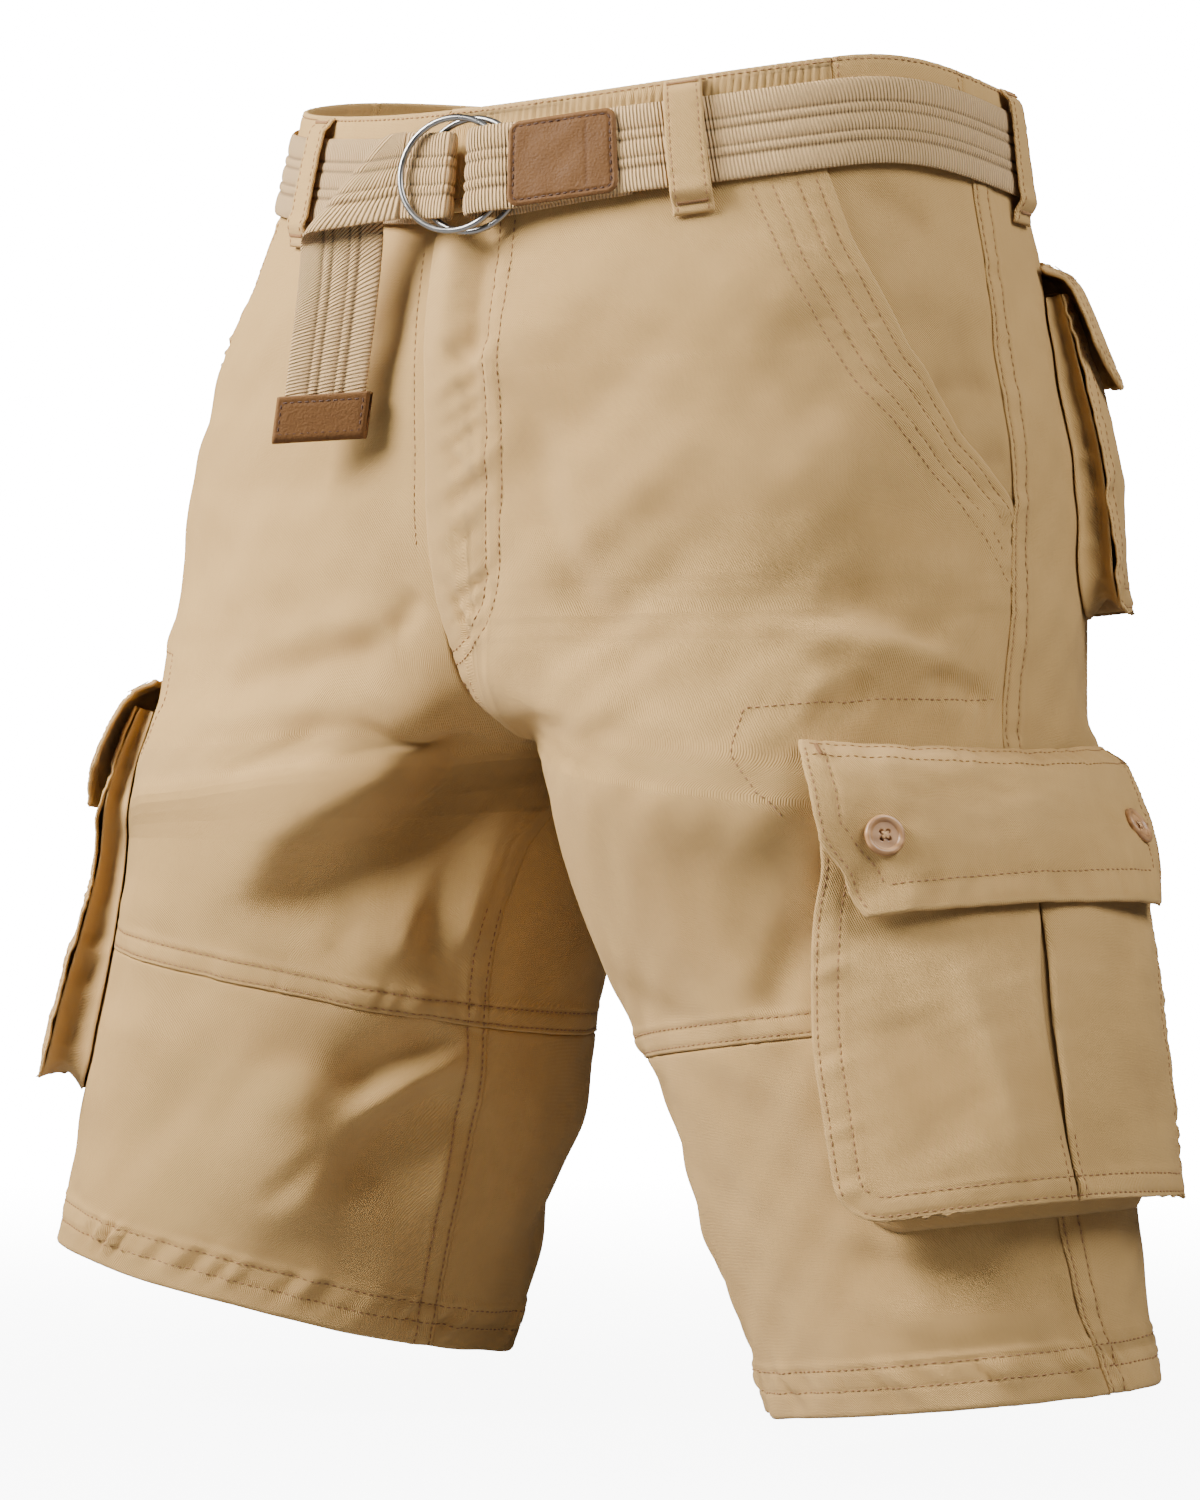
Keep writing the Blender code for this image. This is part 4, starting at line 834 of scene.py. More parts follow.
def sew(group, face, normal, path, **settings):
    if len(path) > 2:
        sewPoints(group, sample(face, path), sample(normal, path), **settings)


def contour(field, level, lengthwise, last=False):
    # fractional (row, column) places where the field crosses a level: one for each row, or each column
    f = field.T if lengthwise else field
    over = f > level
    cross = over[:, :-1] != over[:, 1:]
    j = (cross.shape[1] - 1 - np.argmax(cross[:, ::-1], 1)) if last else np.argmax(cross, 1)
    i = np.arange(len(f))
    a, b = f[i, j], f[i, j + 1]
    part = (level - a) / np.where(b == a, 1, b - a)
    path = np.stack([i, j + np.clip(part, 0, 1)], -1)[cross.any(1)]
    return path[:, ::-1] if lengthwise else path


def keepWhere(path, field, low, high):
    value = sample(field, path)
    return path[(value >= low) & (value <= high)]


def barTack(group, centre, way, normal, length=.010, wide=.0022, count=18):
    # a close zigzag of short stitches across a bar
    way, normal = way / np.linalg.norm(way), normal / np.linalg.norm(normal)
    across = np.cross(normal, way)
    place = centre + way * (np.linspace(-.5, .5, count) * length)[:, None] + normal * .0002
    lean = across[None] + way[None] * (np.where(np.arange(count) % 2, .25, -.25))[:, None]
    lean /= np.linalg.norm(lean, axis=1, keepdims=True)
    up = np.repeat(normal[None], count, 0)
    keepStitches(group, place, lean, up, np.cross(up, lean), np.full(count, wide / 2), .00030)


def makeStitches(group, material):
    middle, way, up, aside, half, wide = (np.concatenate([r[i] for r in stitchRows[group]]) for i in range(6))
    half, wide = half[:, None], wide[:, None]
    ring = ((aside, 1.0), (up, .85), (-aside, 1.0), (-up, .85))
    points = [middle - way * half - up * .00012]
    for end in (-.5, .5):
        points += [middle + way * half * end + axis * wide * size for axis, size in ring]
    points.append(middle + way * half - up * .00012)
    points = np.stack(points, 1)
    count = len(points)
    faces = []
    for face in beadFaces:
        faces += (np.arange(count)[:, None] * 10 + np.array(face)[None]).tolist()
    makePiece(f"stitches_{group}", points.reshape(-1, 3), faces, material)
    print(f"stitches_{group}: {count}")


# Relief of the sewing

def ditch(x, at, deep=.00042, wide=.0009):
    return -deep * bell(x - at, wide)


def ply(x, reach, high=.00045, fade=.0016):
    # an extra folded layer between the edge and reach
    return high * (1 - ease(x, reach, reach + fade))


def puckers(along, aside, centre, reach, height, pitch, seed, slant=.25):
    # short waves across a row, strongest at its centre line
    uneven = .75 + .55 * ripple(along, pitch * 4.3, seed + 90)
    wave = ripple(along + slant * aside, pitch, seed)
    return 1.9 * height * uneven * wave * bell(aside - centre, reach)


def feather(length, coarse, zones):
    # places from 0 to length, closer together near each zone (centre, half width, spacing)
    x = np.linspace(0, length, 4001)
    gap = np.full(4001, coarse)
    for centre, half, fine in zones:
        gap = np.minimum(gap, fine + np.maximum(np.abs(x - centre) - half, 0) * .22)
    count = np.r_[0, np.cumsum((1 / gap[1:] + 1 / gap[:-1]) / 2 * (x[1] - x[0]))]
    total = int(np.ceil(count[-1]))
    return np.interp(np.linspace(0, count[-1], total + 1), count, x)


def pathDistance(x, y, line):
    # signed distance to a polyline, positive on its right
    line = np.asarray(line, float)
    best = np.full(np.broadcast(x, y).shape, 9.0)
    signed = best.copy()
    for (x0, y0), (x1, y1) in zip(line[:-1], line[1:]):
        dx, dy = x1 - x0, y1 - y0
        part = np.clip(((x - x0) * dx + (y - y0) * dy) / (dx * dx + dy * dy), 0, 1)
        ox, oy = x - x0 - part * dx, y - y0 - part * dy
        far = np.hypot(ox, oy)
        near = far < best
        best = np.where(near, far, best)
        signed = np.where(near, far * np.sign(dx * oy - dy * ox), signed)
    return signed


# Main panels

panelSettings = dict(wall=.0013, coarse=.0032, fine=.0011, rows=(.0019, .0092), allowance=.0112,
                     tuck=.0034, centreTuck=.0036, hem=.0215, hemRows=(.0105, .0190), hemWall=.0007,
                     flyHigh=.00042, flyLap=.0024)
thighSeam = {"left": 9.68, "right": 9.66}
openingLine = ((.040, .080), (.072, .073), (.116, .055), (.146, .032), (.172, .004), (.176, .000))
openingRows = (.0055, .0130, .0225, .0300)      # four rows beside the slanted opening
flyLine = ((.040, .0370), (.090, .0370), (.150, .0365), (.196, .0345), (.216, .0290), (.230, .0180),
           (.237, .0060), (.238, .0000))        # (down the side, from the centre front)
flyInner = .0072
facingTab = ((.262, -.004), (.263, -.060), (.268, -.112), (.290, -.114), (.308, -.112), (.318, -.100))


def sewn(side, t):
    pace = (down(side, t + 0.02) - down(side, t - 0.02)) / 0.04
    return seamGap / 2 / girth(side, t), seamGap / 2 / pace


def openingEdge(side, t):
    table = np.array(openingLine)
    before = np.interp(down(side, t), table[:, 0], table[:, 1], right=0)
    return section(side, t)["outseam"] - before / girth(side, t)


def panelGrid(side, isUpper, isFront):
    s = panelSettings
    seam = thighSeam[side]
    top, foot = (1.0, seam) if isUpper else (seam, float(lastRow))
    span = float(down(side, foot) - down(side, top))
    footHalf, topFine = (.012, .0015) if isUpper else (.021, s["fine"])
    zones = [(span, footHalf, s["fine"]), (0, .002, topFine)]
    t = rowAt(side, down(side, top) + feather(span, s["coarse"], zones))
    t[0], t[-1] = top, foot
    halfU, halfT = sewn(side, t)
    t[0] += halfT[0]
    if isUpper:
        t[-1] -= halfT[-1]
    where = section(side, t)
    tuck = s["tuck"] / girth(side, t)           # what lies under the next panel at a leg seam
    if isFront:
        low, high = where["inseam"] + halfU, openingEdge(side, t) + (tuck - halfU) * ease(t, 3.6, 4.0)
    else:
        low, high = where["outseam"] + halfU, 1 + where["inseam"] - halfU + tuck * ease(t, 7.0, 7.3)
    wide = float(np.median((high - low) * girth(side, t)))
    if isFront and isUpper:
        zones = [(0, .042, .0012), (wide, .032, .0012)]
    elif isFront:
        zones = [(0, .010, s["fine"]), (wide, .002, .0014)]
    else:
        zones = [(0, .010, s["fine"]), (wide, .010, s["fine"])]
    part = feather(wide, s["coarse"], zones) / wide
    return t[:, None], low[:, None] + (high - low)[:, None] * part[None]


def buildPanel(side, isUpper, isFront):
    s = panelSettings
    name = f"{'front' if isFront else 'back'}_{'upper' if isUpper else 'lower'}_{side}"
    t, u = panelGrid(side, isUpper, isFront)
    plain = worn(side, t, u)
    m = lengths(plain)
    far = down(side, t) + 0 * u
    across = (u - section(side, t)["outseam"]) * girth(side, t)
    seed = sum(map(ord, name))
    group = f"panels_{side}"
    relief = np.zeros(u.shape)
    wearAndShade = np.zeros(u.shape)
    rows = []                                   # stitch rows, as paths over the grid

    def edgeSeam(x, along, lengthwise, shift, height=.00028):
        nonlocal relief, wearAndShade
        relief = relief + ply(x, s["allowance"])
        for at in s["rows"]:
            relief = relief + ditch(x, at)
            # painted shade in the stitch ditch
            wearAndShade = wearAndShade - .8 * bell(x - at, .0008)
            rows.append(contour(x, at, lengthwise))
        relief = relief + puckers(along, x, .0055, .0075, height, .0088, seed + shift)
        wearAndShade = wearAndShade + .15 * bell(x, .0012)

    def partSeam(share, x, height, pitch, shift):
        # a seam along just a part of an upright edge
        lines = ply(x, s["allowance"]) + sum(ditch(x, at) for at in s["rows"])
        return share * (lines + puckers(m["top"], x, .0055, .007, height, pitch, seed + shift))

    if isUpper:
        edgeSeam(m["foot"], m["start"], True, 1)
    else:
        # hem: folded up twice, two rows, the edge a little rope-like
        relief += ply(m["foot"], s["hem"], .0006) - .0002 * bell(m["top"], .0015)
        for at in s["hemRows"]:
            relief += ditch(m["foot"], at)
            rows.append(contour(m["foot"], at, True))
        clear = ease(np.minimum(m["start"], m["end"]), 0, .010)
        relief += clear * puckers(m["start"], m["foot"], .014, .008, .00085, .0115, seed + 2, slant=.6)
        relief += clear * .0008 * soft(m["start"], m["foot"] * .3, .060, seed + 3) * np.exp(-m["foot"] / .030)
        wearAndShade += .8 * bell(m["foot"], .0011)
    if isFront:
        seamSide = m["start"]
        if not isUpper:
            edgeSeam(seamSide, m["top"], False, 4)
            relief += -.00025 * bell(m["end"], .0018)
        else:
            line = smoothPath(flyLine)
            fromFly = pathDistance(far, m["start"], line)           # positive outside the facing
            inside = 1 - ease(fromFly, -.0006, .0012)
            if side == "left":
                relief += s["flyHigh"] * inside * ease(far, .044, .056)
                for shift in (0, -flyInner):
                    relief += ditch(fromFly, shift, .00045, .0009)
                mild = inside * ease(far, .062, .100) * (1 - ease(far, .225, .245))
                x = m["start"]
                relief += mild * .00105 * ripple(far + .55 * x, .0125, 5) * bell(x - .021, .013)
                relief += mild * .00080 * ripple(far - .8 * x, .0090, 6) * bell(x - .016, .009)
                relief += puckers(far, fromFly, -.0036, .0065, .00030, .0085, 7) * inside
                # the front edge of the fly rolls forward under the rings, with a hollow beside it
                roll = (1 - ease(far, .085, .150)) * ease(far, .046, .060)
                relief += .0034 * roll * bell(m["start"] - .010, .008)
                relief -= .0026 * roll * bell(m["start"] - .0235, .006)
                # the pinched crease where the rows turn in
                below = far - .214
                relief -= .0021 * bell(x - .0125 - .35 * below, .0016) * bell(below, .010)
                relief += .0012 * bell(x - .0165 - .35 * below, .0025) * bell(below, .011)
                edge = (1 - ease(far, .205, .232)) * ease(far, .0435, .052)
                relief += .00125 * edge * (1 - ease(m["start"], .004, .016))
                for shift in (0, -flyInner):
                    path = contour(fromFly, shift, False)
                    path = path[np.argsort(path[:, 0])]
                    rows.append(keepWhere(path, far, .0455, .222))
                    turnPath = contour(fromFly, shift, True)
                    rows.append(keepWhere(turnPath, far, .2215, .26))
                relief += partSeam(ease(far, .236, .250), seamSide, .00026, .0085, 5)
                rows += [keepWhere(contour(seamSide, at, False), far, .244, 1) for at in s["rows"]]
            else:
                relief += ditch(seamSide, .0090, .0003) * (1 - ease(far, .200, .225))
                rows.append(keepWhere(contour(seamSide, .0090, False), far, .060, .205))
                relief += partSeam(ease(t, 6.8, 7.4), seamSide, .00026, .0085, 5)
                rows += [keepWhere(contour(seamSide, at, False), t + 0 * u, 7.1, 20) for at in s["rows"]]
            # hem of the slanted opening, quilted by its four rows
            slant = np.array(openingLine)[:4]
            slant = np.concatenate([slant * (1, -1), [(.172, -.004), (.199, .023), (.294, .118)]])
            fromEdge = -pathDistance(far, across, slant)
            fromEdge = fromEdge * (1 + .30 * ease(far, .110, .185))
            inHem = 1 - ease(fromEdge, .031, .034)
            on = ease(far, .043, .050)
            relief += on * .00045 * inHem
            for at in openingRows:
                relief += on * ditch(fromEdge, at, .00048, .0010)
            for k, (centre, height) in enumerate(((.0092, .00036), (.0178, .00022), (.0262, .00036))):
                relief += on * puckers(far, fromEdge, centre, .0050, height, .0092, seed + 20 + k, .2)
            for k, at in enumerate(openingRows):
                path = contour(fromEdge, at, False, last=True)
                rows.append(keepWhere(keepWhere(path, far, .047, .27), m["end"], .0016, 1))
            wearAndShade += .8 * bell(fromEdge, .0012) * (far < .176)
            relief -= .0003 * bell(m["end"], .0018) * (far > .176)
            # a single row outlines the facing behind the top of the cargo pocket
            shift = -.009 if side == "left" else -.011
            tab = [(fall + shift, turn) for fall, turn in facingTab]
            near = pathDistance(far, across, tab)
            relief += ditch(np.abs(near), 0, .0003, .0009) * (across < 0)
            tabLine = (np.interp(np.linspace(0, 5, 120), range(6), values) for values in zip(*tab))
            rows.append(onGrid(side, t, u, *tabLine))
            relief += puckers(across, far, .265 + shift, .009, .00030, .0095, seed + 31) * (across > -.112)
    else:
        edgeSeam(m["start"], m["top"], False, 6, .00030)
        if isUpper and side == "left":
            relief += partSeam(1 - ease(t, 6.8, 7.2), m["end"], .00024, .009, 8)
            rows += [keepWhere(contour(m["end"], at, False, last=True), t + 0 * u, 0, 7.0)
                     for at in s["rows"]]
    onLeg = ease(t, 3.6, 4.0) if isFront else ease(t, 7.0, 7.3)
    centreLap = (1 - ease(t, 6.6, 7.0)) * (not isFront and isUpper and side == "right")
    relief -= .0012 * centreLap * bell(m["end"], .0045)
    relief -= .0015 * onLeg * bell(m["end"], .0032)
    normal = gridNormals(plain, outward(side, t, u, base))
    face = plain + normal * relief[..., None]
    if isFront and isUpper and side == "left":
        # the fly's front edge laps a little over the other half
        reach = (1 - ease(far, .200, .232)) * ease(far, .0435, .052)
        lap = s["flyLap"] * (1 - ease(m["start"], 0, .010)) * reach
        way = plain[:, :1] - plain[:, 1:2]
        way /= np.linalg.norm(way, axis=-1, keepdims=True)
        face = face + way * lap[..., None]
    if isUpper and not isFront and side == "right":
        # at the centre back this half reaches a little under the other
        way = plain[:, -1:] - plain[:, -2:-1]
        way /= np.linalg.norm(way, axis=-1, keepdims=True)
        face = face + way * (s["centreTuck"] * centreLap * (1 - ease(m["end"], 0, .012)))[..., None]
    # painted light and shade: paler where the relief is raised, darker where it is sunken
    wearAndShade += np.clip(relief / .0012, -1, 1) * .35
    normal = gridNormals(face, normal)
    for path in rows:
        sew(group, face, normal, path)
    thick = s["wall"] + (0 if isUpper else s["hemWall"] * (1 - ease(m["foot"], .021, .023)))
    makeCloth(name, face, normal, thick, wearAndShade)


def onGrid(side, t, u, distances, acrosses):
    # grid places of points given down the side and across from the side seam
    rowT = t[:, 0]
    wanted = rowAt(side, np.asarray(distances))
    i = np.interp(wanted, rowT, np.arange(len(rowT)))
    uu = section(side, wanted)["outseam"] + np.asarray(acrosses) / girth(side, wanted)
    low, high = i.astype(int), np.minimum(i.astype(int) + 1, len(rowT) - 1)
    first = u[low, 0] * (1 - (i - low)) + u[high, 0] * (i - low)
    last = u[low, -1] * (1 - (i - low)) + u[high, -1] * (i - low)
    part = (uu - first) / (last - first)
    columns = (u[0] - u[0, 0]) / (u[0, -1] - u[0, 0])
    ok = (part > 0) & (part < 1)
    return np.stack([i, np.interp(part, columns, np.arange(len(columns)))], -1)[ok]


for side in sign:
    for isFront in (True, False):
        buildPanel(side, True, isFront)
        buildPanel(side, False, isFront)
print("panels made")


def buildPocketSide(side):
    # cloth inside the slanted opening, behind the front panel and up to the side seam
    t = rowAt(side, np.linspace(down(side, .93), down(side, 3.7), 58))
    low = openingEdge(side, t) - .012 / girth(side, t)
    high = section(side, t)["outseam"] + .0036 / girth(side, t)
    part = np.linspace(0, 1, 40)
    u = low[:, None] + (high - low)[:, None] * part[None]
    plain = worn(side, t[:, None], u, -.0019 + .0013 * ease(part, .72, .97)[None])
    m = lengths(plain)
    normal = gridNormals(plain, outward(side, t[:, None], u, base))
    far = down(side, t)[:, None] + 0 * u
    across = (u - section(side, t)["outseam"][:, None]) * girth(side, t)[:, None]
    wrinkles = ((.052, -.066, .070, -.030, .002, -.0007, .006, .2),
                (.132, -.046, .128, -.004, .002, -.0008, .005, .3),
                (.148, -.030, .143, -.004, .001, .0005, .004, 0),
                (.160, -.024, .156, -.002, .001, -.0006, .004, .2),
                (.095, -.060, .118, -.012, .003, -.0005, .008, .1))
    relief = foldLines(wrinkles, far, across) * ease(m["end"], 0, .004)
    face = plain + normal * relief[..., None]
    # the wrinkles' relief is also painted into the colour as light and shade
    makeCloth(f"pocket_side_{side}", face, normal, .0012, relief / .0015)


for side in sign:
    buildPocketSide(side)


def buildFlyShield():
    t = rowAt("left", np.linspace(down("left", 1.12), down("left", 4.9), 60))[:, None]
    halves = [worn(side, t, np.array(places)[None] / girth(side, t), -.0013 - .0014) for side, places in
              (("right", np.linspace(.016, .0008, 8)), ("left", np.linspace(.0008, .034, 14)))]
    face = np.concatenate(halves, axis=1)
    normal = gridNormals(face, np.array([0, -1.0, 0]))
    makeCloth("fly_shield", face, normal, .0012)


buildFlyShield()

# Waistband

bandSettings = dict(out=.0008, wall=.0026, seam=.335, sideSeam=.490, tuck=.0012, rows=(.0024, .0375),
                    gather=.0031, gatherHeight=.00120)


def buildBand(name, side, start, end, gathered=False):
    s = bandSettings
    t = rowAt(side, feather(.042, .0022, [(0, .003, .0009), (.042, .003, .0012)]))
    t[-1] = 1.0 - sewn(side, 1.0)[1]
    half = sewn(side, 0.5)[0]
    # each part starts a little under the one before
    tuck = s["tuck"] / float(girth(side, .5)) if start > 0 else 0
    low, high = start - tuck, end - (half if end < 1 else 0)
    wide = float((high - low) * girth(side, .5))
    part = feather(wide, .00085 if gathered else .0024, [(0, .002, .0008), (wide, .002, .0008)]) / wide
    u = (low + (high - low) * part)[None]
    plain = worn(side, t[:, None], u, s["out"])
    m = lengths(plain)
    seed = sum(map(ord, name))
    relief = -.0006 * bell(m["top"], .0009)
    wearAndShade = .9 * bell(m["top"], .0012)
    for at in s["rows"]:
        relief = relief + ditch(m["top"], at, .00035)
    if gathered:
        x = m["start"]
        sway = x + .00066 * ripple(x, .019, 3) + .03 * m["top"] * ripple(x, .023, 4)
        fold = np.abs(np.sin(np.pi * sway / s["gather"])) ** .8
        fall = .30 + .70 * ease(m["top"], .0022, .0055)
        ends = ease(m["start"], 0, .004) * ease(m["end"], 0, .003)
        relief = relief + s["gatherHeight"] * (fold - .55) * fall * ends
        # painted light and shade on the gathers: crests paler, valleys darker
        wearAndShade = wearAndShade + (fold - .6) * .9 * fall
    else:
        relief = relief + puckers(m["start"], m["top"], .004, .006, .00016, .008, seed)
    relief = relief + puckers(m["start"], m["foot"], .004, .006, .00020, .009, seed + 1)
    if start > 0:
        relief = relief - .0011 * bell(m["start"], .0015)
    if end < 1:
        relief = relief - .0005 * bell(m["end"], .0012)
        if name.startswith("waistband_side") or not gathered:
            relief = relief + ditch(m["end"], .003, .0003)
    if name == "waistband_front_left":
        relief = relief + .0007 * (1 - ease(m["start"], .006, .014))
    normal = gridNormals(plain, outward(side, t[:, None], u, base))
    face = plain + normal * relief[..., None]
    makeCloth(name, face, gridNormals(face, normal), s["wall"], wearAndShade)
    for at in s["rows"]:
        sew("band", face, normal, contour(m["top"], at, True), pitch=.0030, wide=.00036)
    if name.startswith("waistband_side"):
        for x in (m["start"], m["end"]):
            sew("band", face, normal, contour(x, .003, False, last=x is m["end"]))


for side in sign:
    seams = (0, bandSettings["seam"], bandSettings["sideSeam"], 1)
    for part, start, end in zip(("front", "side", "back"), seams[:-1], seams[1:]):
        buildBand(f"waistband_{part}_{side}", side, start, end, part == "front" and side == "left")
print("waistband made")

# Belt line round the waist: arc is in metres to the wearer's left of the centre front

beltSettings = dict(width=.035, middle=.0275, rest=.0023, thick=.0022, rib=.0010)


def waist(share, distance):
    share = np.mod(share, 1.0)
    left = share < 0.5
    u = np.where(left, 2 * share, 2 * (1 - share))
    t = rowAt("left", distance)
    return np.where(left[..., None], base("left", t, u), base("right", t, u))


roundShares = np.linspace(-0.6, 0.6, 1201)
roundLine = waist(roundShares, np.full(1201, beltSettings["middle"]))
roundLength = cumulative(roundLine)
roundLength -= np.interp(0, roundShares, roundLength)
backArc = float(np.interp(0.5, roundShares, roundLength))


def beltFrame(arc):
    share = np.interp(arc, roundLength, roundShares)
    middle = np.full(np.shape(share), beltSettings["middle"])
    along = waist(share + 0.004, middle) - waist(share - 0.004, middle)
    up = waist(share, middle - 0.012) - waist(share, middle + 0.012)
    out = np.cross(along, up)
    along /= np.linalg.norm(along, axis=-1, keepdims=True)
    out /= np.linalg.norm(out, axis=-1, keepdims=True)
    return waist(share, middle), along, out, np.cross(out, along)


def sag(arc):
    # the rings pull the belt down in front
    return -.0032 * bell(np.asarray(arc, float) - .010, .038)


def byBelt(arc, out, height):
    arc, out, height = np.broadcast_arrays(*(np.asarray(v, float) for v in (arc, out, height)))
    point, _, away, up = beltFrame(arc)
    return point + away * out[..., None] + up * (height + sag(arc))[..., None]


# Belt loops: the line is (down from the top edge, out from the cloth), a loop is (arc, swell of its foot)
loopLine = ((.0010, .0018), (.0040, .0030), (.0078, .0052), (.0180, .0056), (.0350, .0056),
            (.0465, .0052), (.0500, .0032), (.0528, .0008), (.0565, .0006))
loopSettings = dict(half=.008, wall=.0016)
loops = {"front_left": (.111, .0014), "front_right": (-.090, .0030), "side_left": (.268, .0014),
         "side_right": (-.268, .0040), "back": (backArc - 0.0002, .0026)}


def buildLoop(name, arc, swell):
    distance, rest = evenly(smoothPath(loopLine, 200), 62).T[..., None]
    rest = rest + swell * np.clip((distance - 0.042) / 0.010, 0, 1)
    half = loopSettings["half"]
    x = np.linspace(-1, 1, 23)[None] * half
    inset = half - np.abs(x)
    relief = -.00055 * bell(inset, .0007) + ditch(inset, .0022, .0003, .0007)
    byRow = bell(inset - .0022, .002)
    relief = relief + .00018 * ripple(distance + .3 * x, .0065, 40 + len(name)) * byRow
    for at in (loopLine[0][0], loopLine[-1][0]):
        relief = relief - .0004 * bell(distance - at, .0010)
    arcs = arc + x + .0002 * np.sin(distance * 160)
    face = byBelt(arcs, rest + loopSettings["wall"] + relief, beltSettings["middle"] - distance)
    normal = gridNormals(face, beltFrame(np.array([arc]))[2][0])
    wearAndShade = .9 * bell(inset, .001) + 0 * distance
    makeCloth(f"belt_loop_{name}", face, normal, loopSettings["wall"], wearAndShade)
    for column in (3.15, 18.85):
        path = np.stack([np.linspace(1, 60, 60), np.full(60, column)], -1)
        sew("band", face, normal, path, pitch=.0028, length=.0021)
    for row in (3, 56):
        barTack("band", face[row, 11], face[row, 12] - face[row, 11], normal[row, 11], .012, .0018, 22)


for name, (arc, swell) in loops.items():
    buildLoop(name, arc, swell)

# Webbing: five ribs lengthwise, each as (middle, half width)

webRibs = ((-.0126, .0049), (-.0056, .0019), (0, .0036), (.0056, .0019), (.0126, .0049))


def webOutline(count=70):
    # both faces swell over each rib as (1 - |x|^2.6); returns height, depth and the mask of the grooves
    # painted darker as shade, round one cut
    x = np.linspace(-.0175, .0175, count)
    crown = np.zeros(count)
    for middle, half in webRibs:
        crown = np.maximum(crown, np.clip(1 - np.abs((x - middle) / half) ** 2.6, 0, 1) ** .7)
    edge = np.clip((np.abs(x) - .0163) / .0012, 0, 1)
    depth = (beltSettings["thick"] / 2 - beltSettings["rib"] * (1 - crown)) * np.sqrt(1 - .85 * edge ** 2)
    groove = np.clip(1 - crown * 1.6, 0, 1) * (edge < .5)
    back = depth[1:-1][::-1] * .92
    return np.r_[x, x[1:-1][::-1]], np.r_[depth, -back], np.r_[groove, groove[1:-1][::-1]]


webHeight, webDepth, webGrooveShade = webOutline()


def webAlong(points):
    points = np.asarray(points, float)
    way = np.gradient(points, axis=0)
    way /= np.linalg.norm(way, axis=1, keepdims=True)
    side = np.stack([-way[:, 1], way[:, 0]], -1)
    arc = points[:, None, 0] + side[:, None, 0] * webDepth[None]
    out = points[:, None, 1] + side[:, None, 1] * webDepth[None]
    return byBelt(arc, out, webHeight[None] + 0 * arc)


def halfTurn(centre, radius, start, end, steps):
    angle = np.radians(np.linspace(start, end, steps))
    return [(centre[0] + radius * np.cos(a), centre[1] + radius * np.sin(a)) for a in angle]


def smoothLine(points, spacing):
    fine = smoothPath(points, 40 * len(points))
    return evenly(fine, max(int(round(cumulative(fine)[-1] / spacing)), 2) + 1)


def relax(points, passes):
    # evens the bends of a line; its ends stay
    points = np.array(points, float)
    for _ in range(passes):
        points[1:-1] = points[1:-1] * .5 + (points[2:] + points[:-2]) * .25
    return points


endBack = ((.0880, .0023), (.0640, .0023), (.0430, .0023), (.0362, .0027), (.0300, .0049), (.0265, .0059))
endTurn = ((.0252, .0105), .0044, -100, -258, 22)
endFront = ((.0262, .0149), (.0310, .0146), (.0380, .0120), (.0440, .0096), (.0640, .0070),
            (.0860, .0056), (.0960, .0049), (.1080, .0035), (.1260, .0024))
strapIn = ((-.0520, .0024), (-.0350, .0032), (-.0180, .0053), (-.0040, .0077), (.0085, .0092))
strapTurn = ((.0105, .0122), .0029, -82, 82, 20)
strapOut = ((.0085, .0151), (.0040, .0158), (-.0010, .0170), (-.0060, .0184))


def buildBelt():
    rest = beltSettings["rest"]
    line = [*smoothLine(endBack, .002)[:-1], *halfTurn(*endTurn), *smoothLine(endFront, .002)[1:],
            *[(a, rest) for a in np.arange(.1285, backArc - seamGap, .0025)], (backArc - seamGap / 2, rest)]
    line = relax(line, 3)
    middle = byBelt(line[:, 0], line[:, 1], 0 * line[:, 0])
    along = cumulative(middle)
    makeTube("belt_left", webAlong(line), along, webHeight, "webbing", webGrooveShade[None])
    swell = lambda arc: 0.0010 * bell(arc + 0.19, 0.08)
    line = [(-backArc + seamGap / 2, rest),
            *[(a, rest + swell(a)) for a in np.arange(-backArc + .002, -.054, .0025)],
            *smoothLine(strapIn, .002)[:-1], *halfTurn(*strapTurn), *smoothLine(strapOut, .002)[1:]]
    line = relax(line, 2)
    middle = byBelt(line[:, 0], line[:, 1], 0 * line[:, 0])
    along = cumulative(middle)
    makeTube("belt_right", webAlong(line), along, webHeight, "webbing", webGrooveShade[None])


buildBelt()

# Hanging end of the belt

tailSettings = dict(fall=10, flare=27, creaseFoot=.0392, creaseAngle=43, creaseRadius=.0034, length=.1255,
                    swing=.24, sink=.20)


